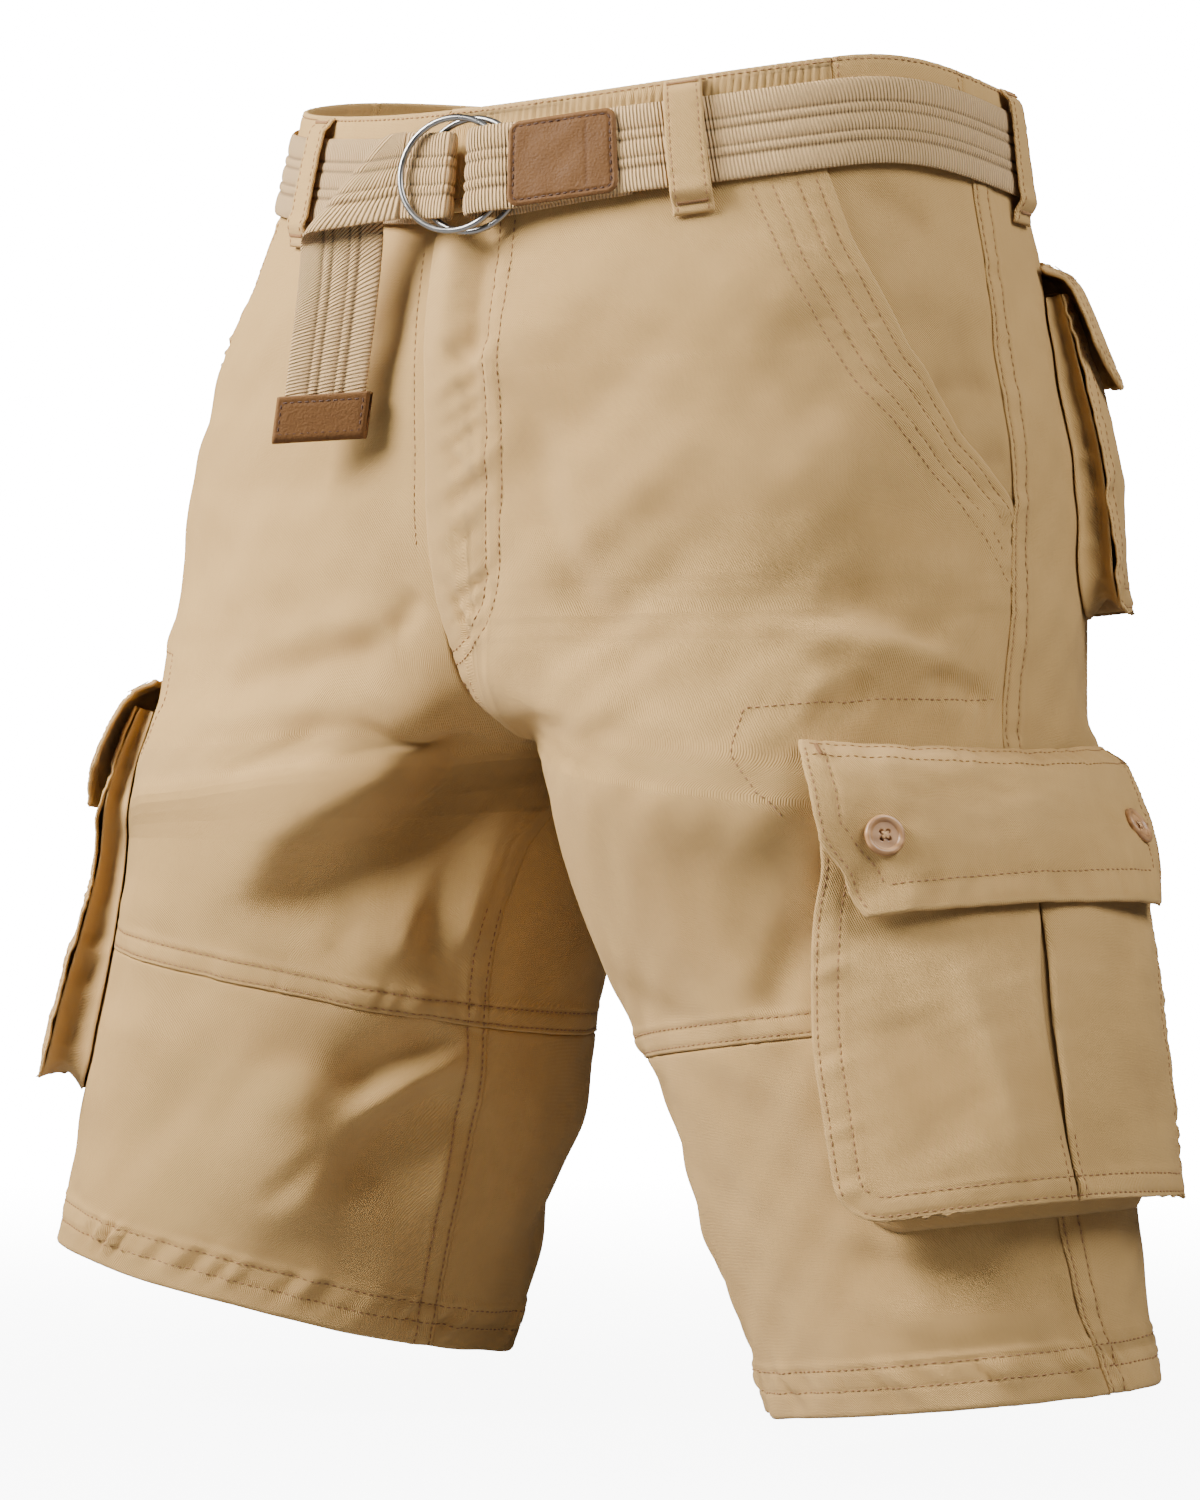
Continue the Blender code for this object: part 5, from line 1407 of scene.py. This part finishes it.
def tailPoint(s, w, lift):
    # the flat strap (s along, w up, lift out) bent round a slanted crease, then swung and sunk as it drops
    k = tailSettings
    fallAngle, flare, creaseAngle = (np.radians(k[n]) for n in ("fall", "flare", "creaseAngle"))
    radius, width = k["creaseRadius"], beltSettings["width"]
    s, w, lift = np.broadcast_arrays(*(np.asarray(v, float) for v in (s, w, lift)))
    start = byBelt(strapOut[-1][0] - seamGap - 0.0002, strapOut[-1][1] + 0.0001, 0.0)
    _, along, out, up = (v[0] for v in beltFrame(np.array([strapOut[-1][0]])))
    level = out * np.sin(flare) - along * np.cos(flare)
    face = out * np.cos(flare) + along * np.sin(flare)
    way = level * np.cos(fallAngle) - up * np.sin(fallAngle)
    wide = level * np.sin(fallAngle) + up * np.cos(fallAngle)
    crease = np.array([-np.cos(creaseAngle), np.sin(creaseAngle)])
    beyond = np.array([np.sin(creaseAngle), np.cos(creaseAngle)])
    foot = np.array([k["creaseFoot"], -width / 2])
    flat = np.stack([s, w], -1) - foot
    l, q = flat @ crease, flat @ beyond
    bend = np.clip(q / radius, 0, np.pi)
    ahead = np.minimum(q, 0) + (radius + lift) * np.sin(bend) - np.maximum(q - np.pi * radius, 0)
    rise = (radius + lift) * np.cos(bend) - radius
    plane = foot + l[..., None] * crease + ahead[..., None] * beyond
    drop = np.maximum(-plane[..., 1] - width / 2, 0)
    eased = (drop ** 2 / (drop + 0.02) * np.clip(q / (np.pi * radius), 0, 1))[..., None]
    return (start + plane[..., :1] * way + plane[..., 1:] * wide + rise[..., None] * face
            + way * k["swing"] * eased - face * k["sink"] * eased)


def buildTail():
    k = tailSettings
    width = beltSettings["width"]
    edge = width / 2 * np.tan(np.radians(k["fall"]))
    turned = np.pi * k["creaseRadius"] / np.sin(np.radians(k["creaseAngle"]))
    upper = k["creaseFoot"] - width / np.tan(np.radians(k["creaseAngle"]))
    cuts = ((edge, -edge), (k["creaseFoot"], upper), (k["creaseFoot"] + turned, upper + turned), (.084, .078),
            (k["length"], k["length"]))
    steps = (20, 30, 24, 28)
    rows = [np.array(cuts[:1])]
    for a, b, n in zip(cuts[:-1], cuts[1:], steps):
        part = np.linspace(0, 1, n + 1)[1:, None]
        rows.append(np.array([a]) * (1 - part) + np.array([b]) * part)
    rows = np.concatenate(rows)
    share = (webHeight + width / 2) / width
    along = rows[:, :1] + (rows[:, 1:] - rows[:, :1]) * share[None]
    rings = tailPoint(along, webHeight[None], webDepth[None])
    makeTube("belt_tail", rings, rows.mean(1), webHeight, "webbing", webGrooveShade[None])


buildTail()


def buildTip():
    # leather folded round the end of the webbing: a U in the strap's own cut, eased at its long edges
    cover, leather, half = .0165, .0011, beltSettings["width"] / 2 + .0027
    near, far = tailSettings["length"] - cover, tailSettings["length"] + seamGap
    gap = beltSettings["thick"] / 2 + seamGap
    straight = np.linspace(near, far - gap, 26)
    turn = np.linspace(np.pi / 2, -np.pi / 2, 13)
    grow = gap + leather

    def folded(off):
        # out along one face, round the end and back along the other
        flat = np.stack([straight, 0 * straight + off], -1)
        bend = np.stack([far - gap + off * np.cos(turn), off * np.sin(turn)], -1)
        return np.concatenate([flat, bend[1:-1], flat[::-1] * (1, -1)])

    inner, outer = folded(gap), folded(grow)
    outline = np.concatenate([inner[::-1], outer])
    across = feather(2 * half, .0014, [(0, .001, .0004), (2 * half, .001, .0004)]) - half
    inset = half - np.abs(across)
    s = outline[None, :, 0] + 0 * across[:, None]
    thinned = 1 - .45 * bell(inset, .0008)[:, None]
    isOuter = (np.arange(len(outline)) >= len(inner))[None]
    lift = outline[None, :, 1] * np.where(isOuter, thinned, 1)
    row = np.minimum(inset[:, None], s - near)
    groove = bell(row - .0026, .0006)
    lift = lift - np.sign(lift) * isOuter * groove * .00025 * (s < far - .003)
    rings = tailPoint(s, across[:, None], lift)
    wearAndShade = isOuter * (.7 * bell(row, .0009) - .5 * groove) + 0 * s
    makeTube("belt_tip", rings, across, outline[:, 0], "leather", wearAndShade)
    for lift in (grow, -grow):
        start, end, wide = near + .0026, far - .0026 * .8, half - .0026
        ss, ww = evenly([(start, -wide), (start, wide), (end, wide), (end, -wide), (start, -wide)], 160).T
        points = tailPoint(ss, ww, np.full(160, lift - np.sign(lift) * .0002))
        up = tailPoint(ss, ww, np.full(160, lift * 1.3)) - points
        up /= np.linalg.norm(up, axis=1, keepdims=True)
        sewPoints("leather", points, up, pitch=.0030, length=.0021, wide=.00030)


buildTip()


def buildPatch():
    # rounded leather patch: grid over the rectangle, its corners pulled in along the arc
    start, end, half, radius = .0405, .0845, .0172, .0045
    line = smoothLine(endFront, .001)
    wide = end - start
    arc = start + feather(wide, .0009, [(0, .003, .0004), (wide, .003, .0004)])
    near = np.minimum(arc - start, end - arc)
    corner = radius - np.sqrt(np.maximum(radius ** 2 - np.maximum(radius - near, 0) ** 2, 0))
    share = (feather(2 * half, .0009, [(0, .003, .0004), (2 * half, .003, .0004)]) / half - 1)
    across = share[None] * (half - corner)[:, None]
    x, y = np.abs(arc[:, None] - (start + end) / 2), np.abs(across)
    qx, qy = x - wide / 2 + radius, y - half + radius
    inset = radius - np.hypot(np.maximum(qx, 0), np.maximum(qy, 0)) - np.minimum(np.maximum(qx, qy), 0)
    groove = bell(inset - .0024, .0006)
    divide = bell(arc[:, None] - .0722, .00045) * (inset > .004)
    relief = .0013 - .0009 * bell(inset, .0007) - .0004 * groove - .00028 * divide
    relief = relief + .00010 * soft(arc[:, None], across, .012, 8)
    rest = np.interp(arc, line[:, 0], line[:, 1])[:, None] + beltSettings["thick"] / 2 + .0005
    face = byBelt(arc[:, None], rest + relief, across)
    back = byBelt(arc[:, None], rest + .00005 + 0 * relief, across)
    normal = gridNormals(face, beltFrame(np.array([.062]))[2][0])
    thick = np.maximum(np.linalg.norm(face - back, axis=-1), .0003)
    wearAndShade = .8 * bell(inset, .0010) - .7 * groove - .6 * divide
    makeShell("leather_patch", face, normal, thick, "leather", wearAndShade, soften=.2)
    e = .0024
    r = radius - e
    turns = []
    for cx, cy, first in ((end - radius, -half + radius, -90), (end - radius, half - radius, 0),
                          (start + radius, half - radius, 90), (start + radius, -half + radius, 180)):
        angle = np.radians(np.linspace(first, first + 90, 8))
        turns.append(np.stack([cx + r * np.cos(angle), cy + r * np.sin(angle)], -1))
    path = np.concatenate(turns + [turns[0][:1]])
    aa, hh = evenly(path, 400).T
    restAt = np.interp(aa, line[:, 0], line[:, 1]) + beltSettings["thick"] / 2 + .0005 + .0010
    up = beltFrame(aa)[2]
    sewPoints("leather", byBelt(aa, restAt, hh), up, pitch=.0031, length=.0022, wide=.00032)


buildPatch()

ringSettings = {"ring_outer": (.0160, .0146, 17), "ring_inner": (.0206, .0090, 11)}     # (arc, out, swing)


def buildRing(name, arc, out, swing):
    turn = np.linspace(0, 2 * np.pi, 128, endpoint=False)[:, None]
    tube = np.linspace(0, 2 * np.pi, 20, endpoint=False)[None]
    swing = np.radians(swing)
    wire, ringRadius = .00128, .0228
    radius = ringRadius + wire * np.cos(tube)
    flat, height, lift = radius * np.cos(turn), radius * np.sin(turn), wire * np.sin(tube) + 0 * turn
    along = flat * np.cos(swing) + lift * np.sin(swing)
    away = lift * np.cos(swing) - flat * np.sin(swing)
    point, way, outWay, up = (v[0] for v in beltFrame(np.array([arc])))
    rings = (point + (away + out)[..., None] * outWay + along[..., None] * way
             + (height + sag(arc))[..., None] * up)
    makeTube(name, rings, turn[:, 0] * ringRadius, tube[0] * wire, "steel", closed=True)


for name, (arc, out, swing) in ringSettings.items():
    buildRing(name, arc, out, swing)
print("belt made")

# Bellows pockets

pockets = {
    "cargo_left": dict(side="left", middle=-.005, half=.080, top=.287, bottom=.459, corner=.018,
                       high=.0080, low=.0210, flap=(.272, .336), flapHalf=.084),
    "cargo_right": dict(side="right", middle=-.005, half=.080, top=.285, bottom=.457, corner=.018,
                        high=.0080, low=.0210, flap=(.270, .334), flapHalf=.084),
    "back_left": dict(side="left", middle=.134, half=.072, top=.087, bottom=.218, corner=.016,
                      high=.0090, low=.0170, flap=(.073, .131), flapHalf=.075),
    "back_right": dict(side="right", middle=.130, half=.072, top=.096, bottom=.228, corner=.016,
                       high=.0090, low=.0170, flap=(.082, .140), flapHalf=.075),
}
pocketFolds = {     # columns as in folds, down from the pocket's top and across from its middle
    "cargo_left": ((.066, -.034, .152, -.018, .003, .0016, .006, .3),
                   (.094, -.056, .150, -.040, .004, -.0022, .012, .2),
                   (.050, -.074, .062, -.050, .001, -.0007, .004, .2),
                   (.062, -.076, .078, -.052, .001, .0006, .004, 0),
                   (.080, .020, .150, .050, .004, -.0009, .012, 0)),
    "cargo_right": ((.060, .030, .150, .020, .003, .0014, .007, .3),
                    (.090, .052, .152, .040, .004, -.0018, .012, .2),
                    (.070, -.060, .120, -.030, .003, -.0014, .010, .2),
                    (.110, -.070, .150, -.020, .002, .0010, .008, 0)),
    "back_left": ((.040, -.030, .110, .010, .004, -.0013, .012, .2),
                  (.060, .020, .120, .050, .003, .0010, .010, 0)),
    "back_right": ((.040, .040, .110, .000, .004, -.0013, .012, .2),
                   (.060, -.040, .120, -.020, .003, .0010, .010, 0)),
}
faceSettings = dict(wall=.0013, allowance=.0108, rows=(.0020, .0092), pleatRow=.0026)


def standOff(p, distance, across):
    fall = np.clip((distance - p["top"]) / (p["bottom"] - p["top"]), 0, 1)
    middle = np.clip(1 - ((across - p["middle"]) / p["half"]) ** 2, 0, 1)
    return p["high"] + (p["low"] - p["high"]) * fall ** 0.8 + 0.004 * middle * np.sin(np.pi * fall ** 0.7)


def halfWidth(p, distance):
    below = np.clip(distance - (p["bottom"] - p["corner"]), 0, p["corner"])
    return p["half"] - p["corner"] + np.sqrt(p["corner"] ** 2 - below ** 2)


def onPocket(p, distance, across, out):
    return stand(p["side"], *spread(p["side"], distance, across), out)


def pocketOutward(p, distance, across):
    return outward(p["side"], *spread(p["side"], distance, across), base)


def insidePocket(p, distance, across):
    # distance in from the pocket's sides and foot, round its lower corners
    x, y = np.abs(across - p["middle"]), distance
    qx, qy = x - p["half"] + p["corner"], y - p["bottom"] + p["corner"]
    return p["corner"] - np.hypot(np.maximum(qx, 0), np.maximum(qy, 0)) - np.minimum(np.maximum(qx, qy), 0)


def pocketRows(p):
    # closer and closer towards the foot, so the rounded corners stay round
    foot = p["bottom"] - p["corner"]
    lean = np.linspace(0, np.pi / 2, 22)[1:]
    return np.r_[np.linspace(p["top"], foot, 62), foot + p["corner"] * np.sin(lean)]


def buildFace(key, name, p, start, end, pleat):
    # share -1 is the front edge and 1 the back edge; a pleat parts the two halves down the middle
    s = faceSettings
    distance = pocketRows(p)[:, None]
    reach = p["half"] * (end - start)
    zones = [(0, .010 if start == -1 else .002, .0011), (reach, .010 if end == 1 else .002, .0011)]
    share = (start + feather(reach, .0026, zones) / p["half"])[None]
    place = p["middle"] + share * halfWidth(p, distance)
    fall = np.clip((distance - p["top"] - .046) / (p["bottom"] - p["top"] - .073), 0, 1)
    seamSide = np.abs(place - p["middle"]) if pleat else 9.0 + 0 * place
    if pleat:
        part = seamGap / 2 + (.0014 - seamGap / 2) * np.sin(np.pi * fall)
        place = place + part * (1 if start == 0 else -1) * bell(seamSide, .006)
    out = standOff(p, distance, place)
    inset = insidePocket(p, distance, place)
    relief = ply(inset, s["allowance"], .0004) + sum(ditch(inset, at) for at in s["rows"])
    seed = sum(map(ord, name))
    seamAlong = np.where(p["bottom"] - distance > np.abs(inset) + .004, distance, place)
    relief = relief + puckers(seamAlong, inset, .0055, .0065, .00030, .0092, seed)
    relief = relief + foldLines(pocketFolds[key], distance - p["top"], place - p["middle"])
    relief = relief + .0005 * soft(distance, place, .045, seed + 1)
    relief = relief + .00018 * soft(distance, place, .016, seed + 2)
    wearAndShade = .8 * bell(inset, .0012)
    if pleat:
        edge = np.sin(np.pi * fall)
        relief = relief + .0005 * edge * bell(seamSide - .003, .003)
        relief = relief - .0006 * bell(seamSide, .0012)
        relief = relief + (fall >= 1) * ditch(seamSide, s["pleatRow"], .0003, .0007)
        wearAndShade = wearAndShade + .5 * edge * bell(seamSide, .0012)
    plain = onPocket(p, distance, place, out)
    normal = gridNormals(plain, pocketOutward(p, distance, place))
    face = plain + normal * relief[..., None]
    # painted light and shade: paler where the relief is raised, darker where it is sunken
    wearAndShade = wearAndShade + np.clip(relief / .0012, -1, 1) * .3
    makeCloth(name, face, gridNormals(face, normal), s["wall"], wearAndShade)
    group = f"pockets_{p['side']}"
    far = distance + 0 * place
    for at in s["rows"]:
        for last in ([False] if start == -1 else []) + ([True] if end == 1 else []):
            path = contour(inset, at, False, last=last)
            sew(group, face, normal, keepWhere(path, far, 0, p["bottom"] - p["corner"] * .6))
        sew(group, face, normal, keepWhere(contour(inset, at, True), far, p["bottom"] - p["corner"] * .62, 1))
    if pleat:
        path = contour(seamSide, s["pleatRow"], False, last=end == 0)
        sew(group, face, normal, keepWhere(path, far, p["bottom"] - .027, 1))


def buildUnderlay(name, p):
    # the cloth behind the pleat, just behind the face, painted dark all over as shade
    half, behind = .013, .00285
    distance = np.linspace(p["top"] + .005, p["bottom"] - .0065, 50)[:, None]
    place = p["middle"] + np.linspace(-half, half, 14)[None] + 0 * distance
    out = standOff(p, distance, place) - behind
    face = onPocket(p, distance, place, out)
    normal = gridNormals(face, pocketOutward(p, distance, place))
    makeCloth(name, face, normal, .0012, -1.0 + 0 * place)


def pocketPath(p, fine=.0022):
    # the face's edge down its front, along its foot and up its back, with directions into the pocket
    half, corner = p["half"], p["corner"]
    lean = np.linspace(0, np.pi / 2, 14)
    fall = np.linspace(p["top"], p["bottom"] - corner, int((p["bottom"] - corner - p["top"]) / fine))
    front = np.stack([fall, 0 * fall - half], -1)
    frontIn = np.stack([0 * fall, 0 * fall + 1], -1)
    bend = np.stack([p["bottom"] - corner + corner * np.sin(lean),
                     -half + corner - corner * np.cos(lean)], -1)[1:]
    bendIn = np.stack([-np.sin(lean), np.cos(lean)], -1)[1:]
    foot = np.linspace(-half + corner, half - corner, int((2 * half - 2 * corner) / fine))[1:-1]
    foot = np.stack([0 * foot + p["bottom"], foot], -1)
    mirror = np.array([1, -1])
    points = np.concatenate([front, bend, foot, bend[::-1] * mirror, front[::-1] * mirror])
    inward = np.concatenate([frontIn, bendIn, 0 * foot + (-1, 0), bendIn[::-1] * mirror,
                             frontIn[::-1] * mirror])
    return points, inward


def buildGusset(name, p):
    # bellows wall: from the leg in to a fold and back out to the face, crumpled along its length
    points, inward = pocketPath(p)
    along = cumulative(points)
    top = standOff(p, points[:, 0], p["middle"] + points[:, 1]) - .0022
    foot = .0016 + 0 * top
    v = np.linspace(0, 1, 17)[None]
    fallShare = np.clip((points[:, 0] - p["top"]) / (p["bottom"] - p["top"]), 0, 1)[:, None]
    seed = sum(map(ord, name))
    deep = .0058 + .0009 * ripple(along, .021, seed)[:, None]
    far = .0007 + deep * (1 - np.abs(2 * v - 1) ** 1.5)
    far = far - .0030 * fallShare * (1 - v) ** 3
    crumple = .00060 * soft(along[:, None], v * .020, .013, seed + 1)
    crumple = crumple + .00035 * ripple(along, .0075, seed + 2)[:, None]
    far = far + crumple * np.sin(np.pi * v) ** .7
    high = foot[:, None] + (top - foot)[:, None] * v
    fall, across = (points[:, k, None] + inward[:, k, None] * far for k in (0, 1))
    face = onPocket(p, fall, p["middle"] + across, high)
    centre = onPocket(p, (p["top"] + p["bottom"]) / 2, p["middle"], np.array(.008))
    normal = gridNormals(face, face - centre)
    # painted shade darker towards the middle of the bellows fold, paler along both edges
    mark = -.35 * np.sin(np.pi * v) + 0 * far
    mark = mark + .5 * bell(1 - v, .07) + .5 * bell(v, .08)
    makeCloth(name, face, normal, .0010, mark)


# cut: the bevel of a lower corner, down and across; edge: (share of the way down, how far the front edge of
# a buttoned flap bends in)
flapSettings = dict(
    wall=.0020, cut=(.021, .0215), buttonUp=.021, buttons=(("front", -.060), ("back", .060)),
    topRows=(.0022, .0095), rows=(.0020, .0085),
    edge=((0, 0), (.12, .0004), (.24, -.0008), (.37, -.0027), (.47, -.0034), (.56, -.0016), (.67, .0020),
          (.80, .0012), (1, 0)))


def flapOut(p, distance):
    top, bottom = p["flap"]
    line = smoothPath(((0, .0009), (.003, .0036), (.008, p["high"] + .0009), (.014, p["high"] + .0036),
                       (.030, p["high"] + .0074), (bottom - top, p["high"] + .0120)), 240)
    return np.interp(distance - top, line[:, 0], line[:, 1])


def buildFlap(name, p, buttons):
    s = flapSettings
    top, bottom = p["flap"]
    cut, cutWide = s["cut"]
    distance = (top + feather(bottom - top, .0020, [(0, .004, .0010), (bottom - top, .009, .0010)]))[:, None]
    wide = p["flapHalf"] - np.clip((distance - (bottom - cut)) / cut, 0, 1) * cutWide
    full = 2 * p["flapHalf"]
    share = feather(full, .0024, [(0, .010, .0011), (full, .010, .0011)]) / p["flapHalf"] - 1
    place = p["middle"] + share[None] * wide
    x = np.abs(place - p["middle"])
    toSide = p["flapHalf"] - x
    fallen = (distance - top) / (bottom - top)
    inward = np.interp(fallen, *smoothPath(s["edge"], 160).T)
    slope = np.hypot(cut, cutWide)
    toCut = (toSide * cut - (distance - (bottom - cut)) * cutWide) / slope
    inset = np.minimum(np.minimum(toSide, bottom - distance), toCut)
    fromTop = distance - top + 0 * place
    seed = sum(map(ord, name))
    relief = .0003 - .0006 * bell(inset, .0009)
    for at, deep in zip(s["rows"], (.00035, .00045)):
        relief = relief + ditch(inset, at, deep)
    for at in s["topRows"]:
        relief = relief + ditch(fromTop, at)
    seamAlong = np.where(toSide < bottom - distance, distance, place)
    calm = .3 + .7 * ease(toSide, .004, .020)        # the side edges stay straight
    relief = relief + calm * puckers(seamAlong, inset, .005, .0065, .00030, .0095, seed)
    relief = relief + puckers(place, fromTop, .006, .007, .00032, .0110, seed + 1)
    relief = relief + calm * .0005 * soft(distance, place, .040, seed + 2)
    relief = relief + .00016 * soft(distance, place, .014, seed + 3)
    for across in buttons:
        aside, below = place - p["middle"] - across, distance - (bottom - s["buttonUp"])
        r, turn = np.hypot(aside, below), np.arctan2(below, aside)
        relief = relief - .0009 * bell(r, .009)
        relief = relief + .0003 * np.cos(5 * turn) * bell(r - .012, .006)
    wave = .0009 * ripple(place, .052, seed + 4) * ease(fromTop, .020, .060)
    out = flapOut(p, distance) + .0020 + wave
    bent = place + (inward * np.clip(-share, 0, 1)[None] ** 3 if buttons else 0)
    plain = onPocket(p, distance, bent, out)
    normal = gridNormals(plain, pocketOutward(p, distance, place))
    face = plain + normal * relief[..., None]
    wearAndShade = .9 * bell(inset, .0013) + .6 * bell(fromTop, .001)
    # painted light and shade: paler where the relief is raised, darker where it is sunken
    wearAndShade = wearAndShade + np.clip(relief / .0012, -1, 1) * .35
    makeCloth(name, face, gridNormals(face, normal), s["wall"], wearAndShade)
    group = f"pockets_{p['side']}"
    toFoot = bottom - distance + 0 * place
    for at in s["topRows"]:
        sew(group, face, normal, keepWhere(contour(fromTop, at, True), inset, .003, 1))
    for at in s["rows"]:
        for last in (False, True):
            path = keepWhere(contour(inset, at, False, last=last), fromTop, .004, 1)
            sew(group, face, normal, keepWhere(path, toFoot, at * .9, 1))
        if at > .005:
            sew(group, face, normal, keepWhere(contour(toFoot, at, True), inset, at * .97, 1))
    for across in (-1, 1):
        j = int(np.argmin(np.abs(share - across * (1 - .006 / p["flapHalf"]))))
        i = int(np.argmin(np.abs(fromTop[:, 0] - .006)))
        barTack(group, face[i, j], face[i + 1, j] - face[i, j], normal[i, j], .010)


def buildButton(name, p, across):
    # turned disc: raised rim, dished middle with four holes, on a grid of rings
    s = dict(radius=.0080, hole=.00085, spacing=.0019)
    distance, place, e = p["flap"][1] - flapSettings["buttonUp"], p["middle"] + across, .002
    seat = lambda fallen: np.array(float(flapOut(p, fallen)) + .0014)
    centre = onPocket(p, distance, place, seat(distance))
    right = onPocket(p, distance, place + e, seat(distance)) - centre
    fall = onPocket(p, distance + e, place, seat(distance + e)) - centre
    right /= np.linalg.norm(right)
    axis = np.cross(right, fall)
    axis *= -sign[p["side"]] / np.linalg.norm(axis)
    fall = np.cross(axis, right)
    r = np.r_[.0002, np.linspace(.0006, .0046, 20), np.linspace(.0049, s["radius"], 14)]
    turn = np.linspace(0, 2 * np.pi, 72, endpoint=False)
    x, y = r[:, None] * np.cos(turn), r[:, None] * np.sin(turn)
    rim = np.clip((r - .0052) / .0028, 0, 1)
    profile = .0019 + .0010 * np.sin(np.pi * rim * .95) ** .6 - .0010 * np.clip((rim - .8) / .2, 0, 1) ** 2
    depth = np.repeat(profile[:, None], 72, 1)
    for a in np.radians((45, 135, 225, 315)):
        far = np.hypot(x - s["spacing"] * np.cos(a), y - s["spacing"] * np.sin(a))
        depth = depth - .0016 * (1 - ease(far, s["hole"] * .75, s["hole"] * 1.2))
    shape = centre + x[..., None] * right + y[..., None] * fall
    upper = shape + depth[..., None] * axis
    # the back: (share of the radius, height over the cloth)
    under = ((.985, .0011), (.93, .0006), (.80, .0004), (.4, .0003), (.03, .0003))
    spokes = s["radius"] * (np.cos(turn)[:, None] * right + np.sin(turn)[:, None] * fall)
    lower = np.stack([centre + share * spokes + height * axis for share, height in under])
    rings = np.concatenate([upper, lower])
    makeTube(name, rings, np.linspace(0, .02, len(rings)), turn * .003, "button")
    for a, b in ((45, 225), (135, 315)):
        ends = [centre + s["spacing"] * (np.cos(k) * right + np.sin(k) * fall) for k in np.radians((a, b))]
        way = (ends[1] - ends[0]) / np.linalg.norm(ends[1] - ends[0])
        for shift in (-.00028, 0, .00028):
            middle = (ends[0] + ends[1]) / 2 + axis * .0024 + np.cross(axis, way) * shift
            aside = np.cross(axis, way)[None]
            keepStitches("buttons", middle[None], way[None], axis[None], aside, np.array([.0021]), .00028)


for key, p in pockets.items():
    buttons = dict(flapSettings["buttons"]) if key.startswith("cargo") else {}
    if buttons:
        buildFace(key, f"{key}_face_front", p, -1, 0, True)
        buildFace(key, f"{key}_face_back", p, 0, 1, True)
        buildUnderlay(f"{key}_pleat", p)
        for place, across in buttons.items():
            buildButton(f"{key}_button_{place}", p, across)
    else:
        buildFace(key, f"{key}_face", p, -1, 1, False)
    buildGusset(f"{key}_gusset", p)
    buildFlap(f"{key}_flap", p, buttons.values())
print("pockets made")

for group in list(stitchRows):
    makeStitches(group, {"leather": "threadBrown", "buttons": "threadPale"}.get(group, "thread"))

# Floor, light and backdrop

studio = dict(floor=-.5505, pale=(.90, .90, .895), ground=(.30, .30, .31), around=.11,
              glow=20.0, key=66.0, fill=25.0, top=3.0)


def seenShare(tree):
    # 1 for what the camera itself looks at, 0 for the light that reaches the cloth
    return addNode(tree, "ShaderNodeLightPath").outputs["Is Camera Ray"]


def makeFloor(s):
    mesh = bpy.data.meshes.new("floor")
    corners = ((-14, -14), (14, -14), (14, 14), (-14, 14))
    mesh.from_pydata([(x, y, s["floor"]) for x, y in corners], [], [(0, 1, 2, 3)])
    material = bpy.data.materials.new("floor_pale")
    material.use_nodes = True
    tree = material.node_tree
    shader = tree.nodes["Principled BSDF"]
    shader.inputs["Base Color"].default_value = (*s["ground"], 1)
    shader.inputs["Roughness"].default_value = .9
    shader.inputs["Specular IOR Level"].default_value = .1
    place = objectPlace(tree)
    far = addNode(tree, "ShaderNodeVectorMath", {"operation": "LENGTH"}, _0=place).outputs["Value"]
    fade = addNode(tree, "ShaderNodeMapRange", {"interpolation_type": "SMOOTHSTEP"}, Value=far)
    fade.inputs["From Min"].default_value, fade.inputs["From Max"].default_value = .45, 1.5
    # only the camera sees the glow, and just part of it near the cloth
    share = calc(tree, "MULTIPLY", calc(tree, "MULTIPLY_ADD", fade.outputs[0], .55, .45), seenShare(tree))
    glow = addNode(tree, "ShaderNodeEmission", None, Color=(*s["pale"], 1), Strength=s["glow"])
    mix = addNode(tree, "ShaderNodeMixShader", None, Fac=share)
    tree.links.new(shader.outputs[0], mix.inputs[1])
    tree.links.new(glow.outputs[0], mix.inputs[2])
    tree.links.new(mix.outputs[0], tree.nodes["Material Output"].inputs["Surface"])
    mesh.materials.append(material)
    floor = bpy.data.objects.new("floor", mesh)
    bpy.context.scene.collection.objects.link(floor)


def makeWorld(s):
    world = bpy.data.worlds.new("studio")
    world.use_nodes = True
    tree = world.node_tree
    around = tree.nodes["Background"]
    around.inputs["Color"].default_value = (.80, .84, .90, 1)
    around.inputs["Strength"].default_value = s["around"]
    seen = addNode(tree, "ShaderNodeBackground", None, Color=(*s["pale"], 1), Strength=s["glow"])
    mix = addNode(tree, "ShaderNodeMixShader", None, Fac=seenShare(tree))
    tree.links.new(around.outputs[0], mix.inputs[1])
    tree.links.new(seen.outputs[0], mix.inputs[2])
    tree.links.new(mix.outputs[0], tree.nodes["World Output"].inputs["Surface"])
    bpy.context.scene.world = world


def makeLight(name, azimuth, elevation, distance, size, power, colour=(1, 1, 1)):
    a, e = np.radians(azimuth), np.radians(elevation)
    back = np.array([np.sin(a) * np.cos(e), -np.cos(a) * np.cos(e), np.sin(e)])
    data = bpy.data.lights.new(name, "AREA")
    data.shape, data.size, data.energy, data.color = "DISK", size, power, colour
    light = bpy.data.objects.new(name, data)
    right = np.array([np.cos(a), np.sin(a), 0])
    place = Matrix.Identity(4)
    for i, axis in enumerate((right, np.cross(back, right), back, np.array([0, 0, -.27]) + back * distance)):
        for k in range(3):
            place[k][i] = float(axis[k])
    light.matrix_world = place
    bpy.context.scene.collection.objects.link(light)


makeFloor(studio)
makeWorld(studio)
makeLight("key", -28, 34, 1.42, .75, studio["key"], (1, .99, .98))
makeLight("fill", 92, 40, 1.5, .9, studio["fill"])
makeLight("top", 60, 78, 2.2, 1.4, studio["top"])
print("studio ready")
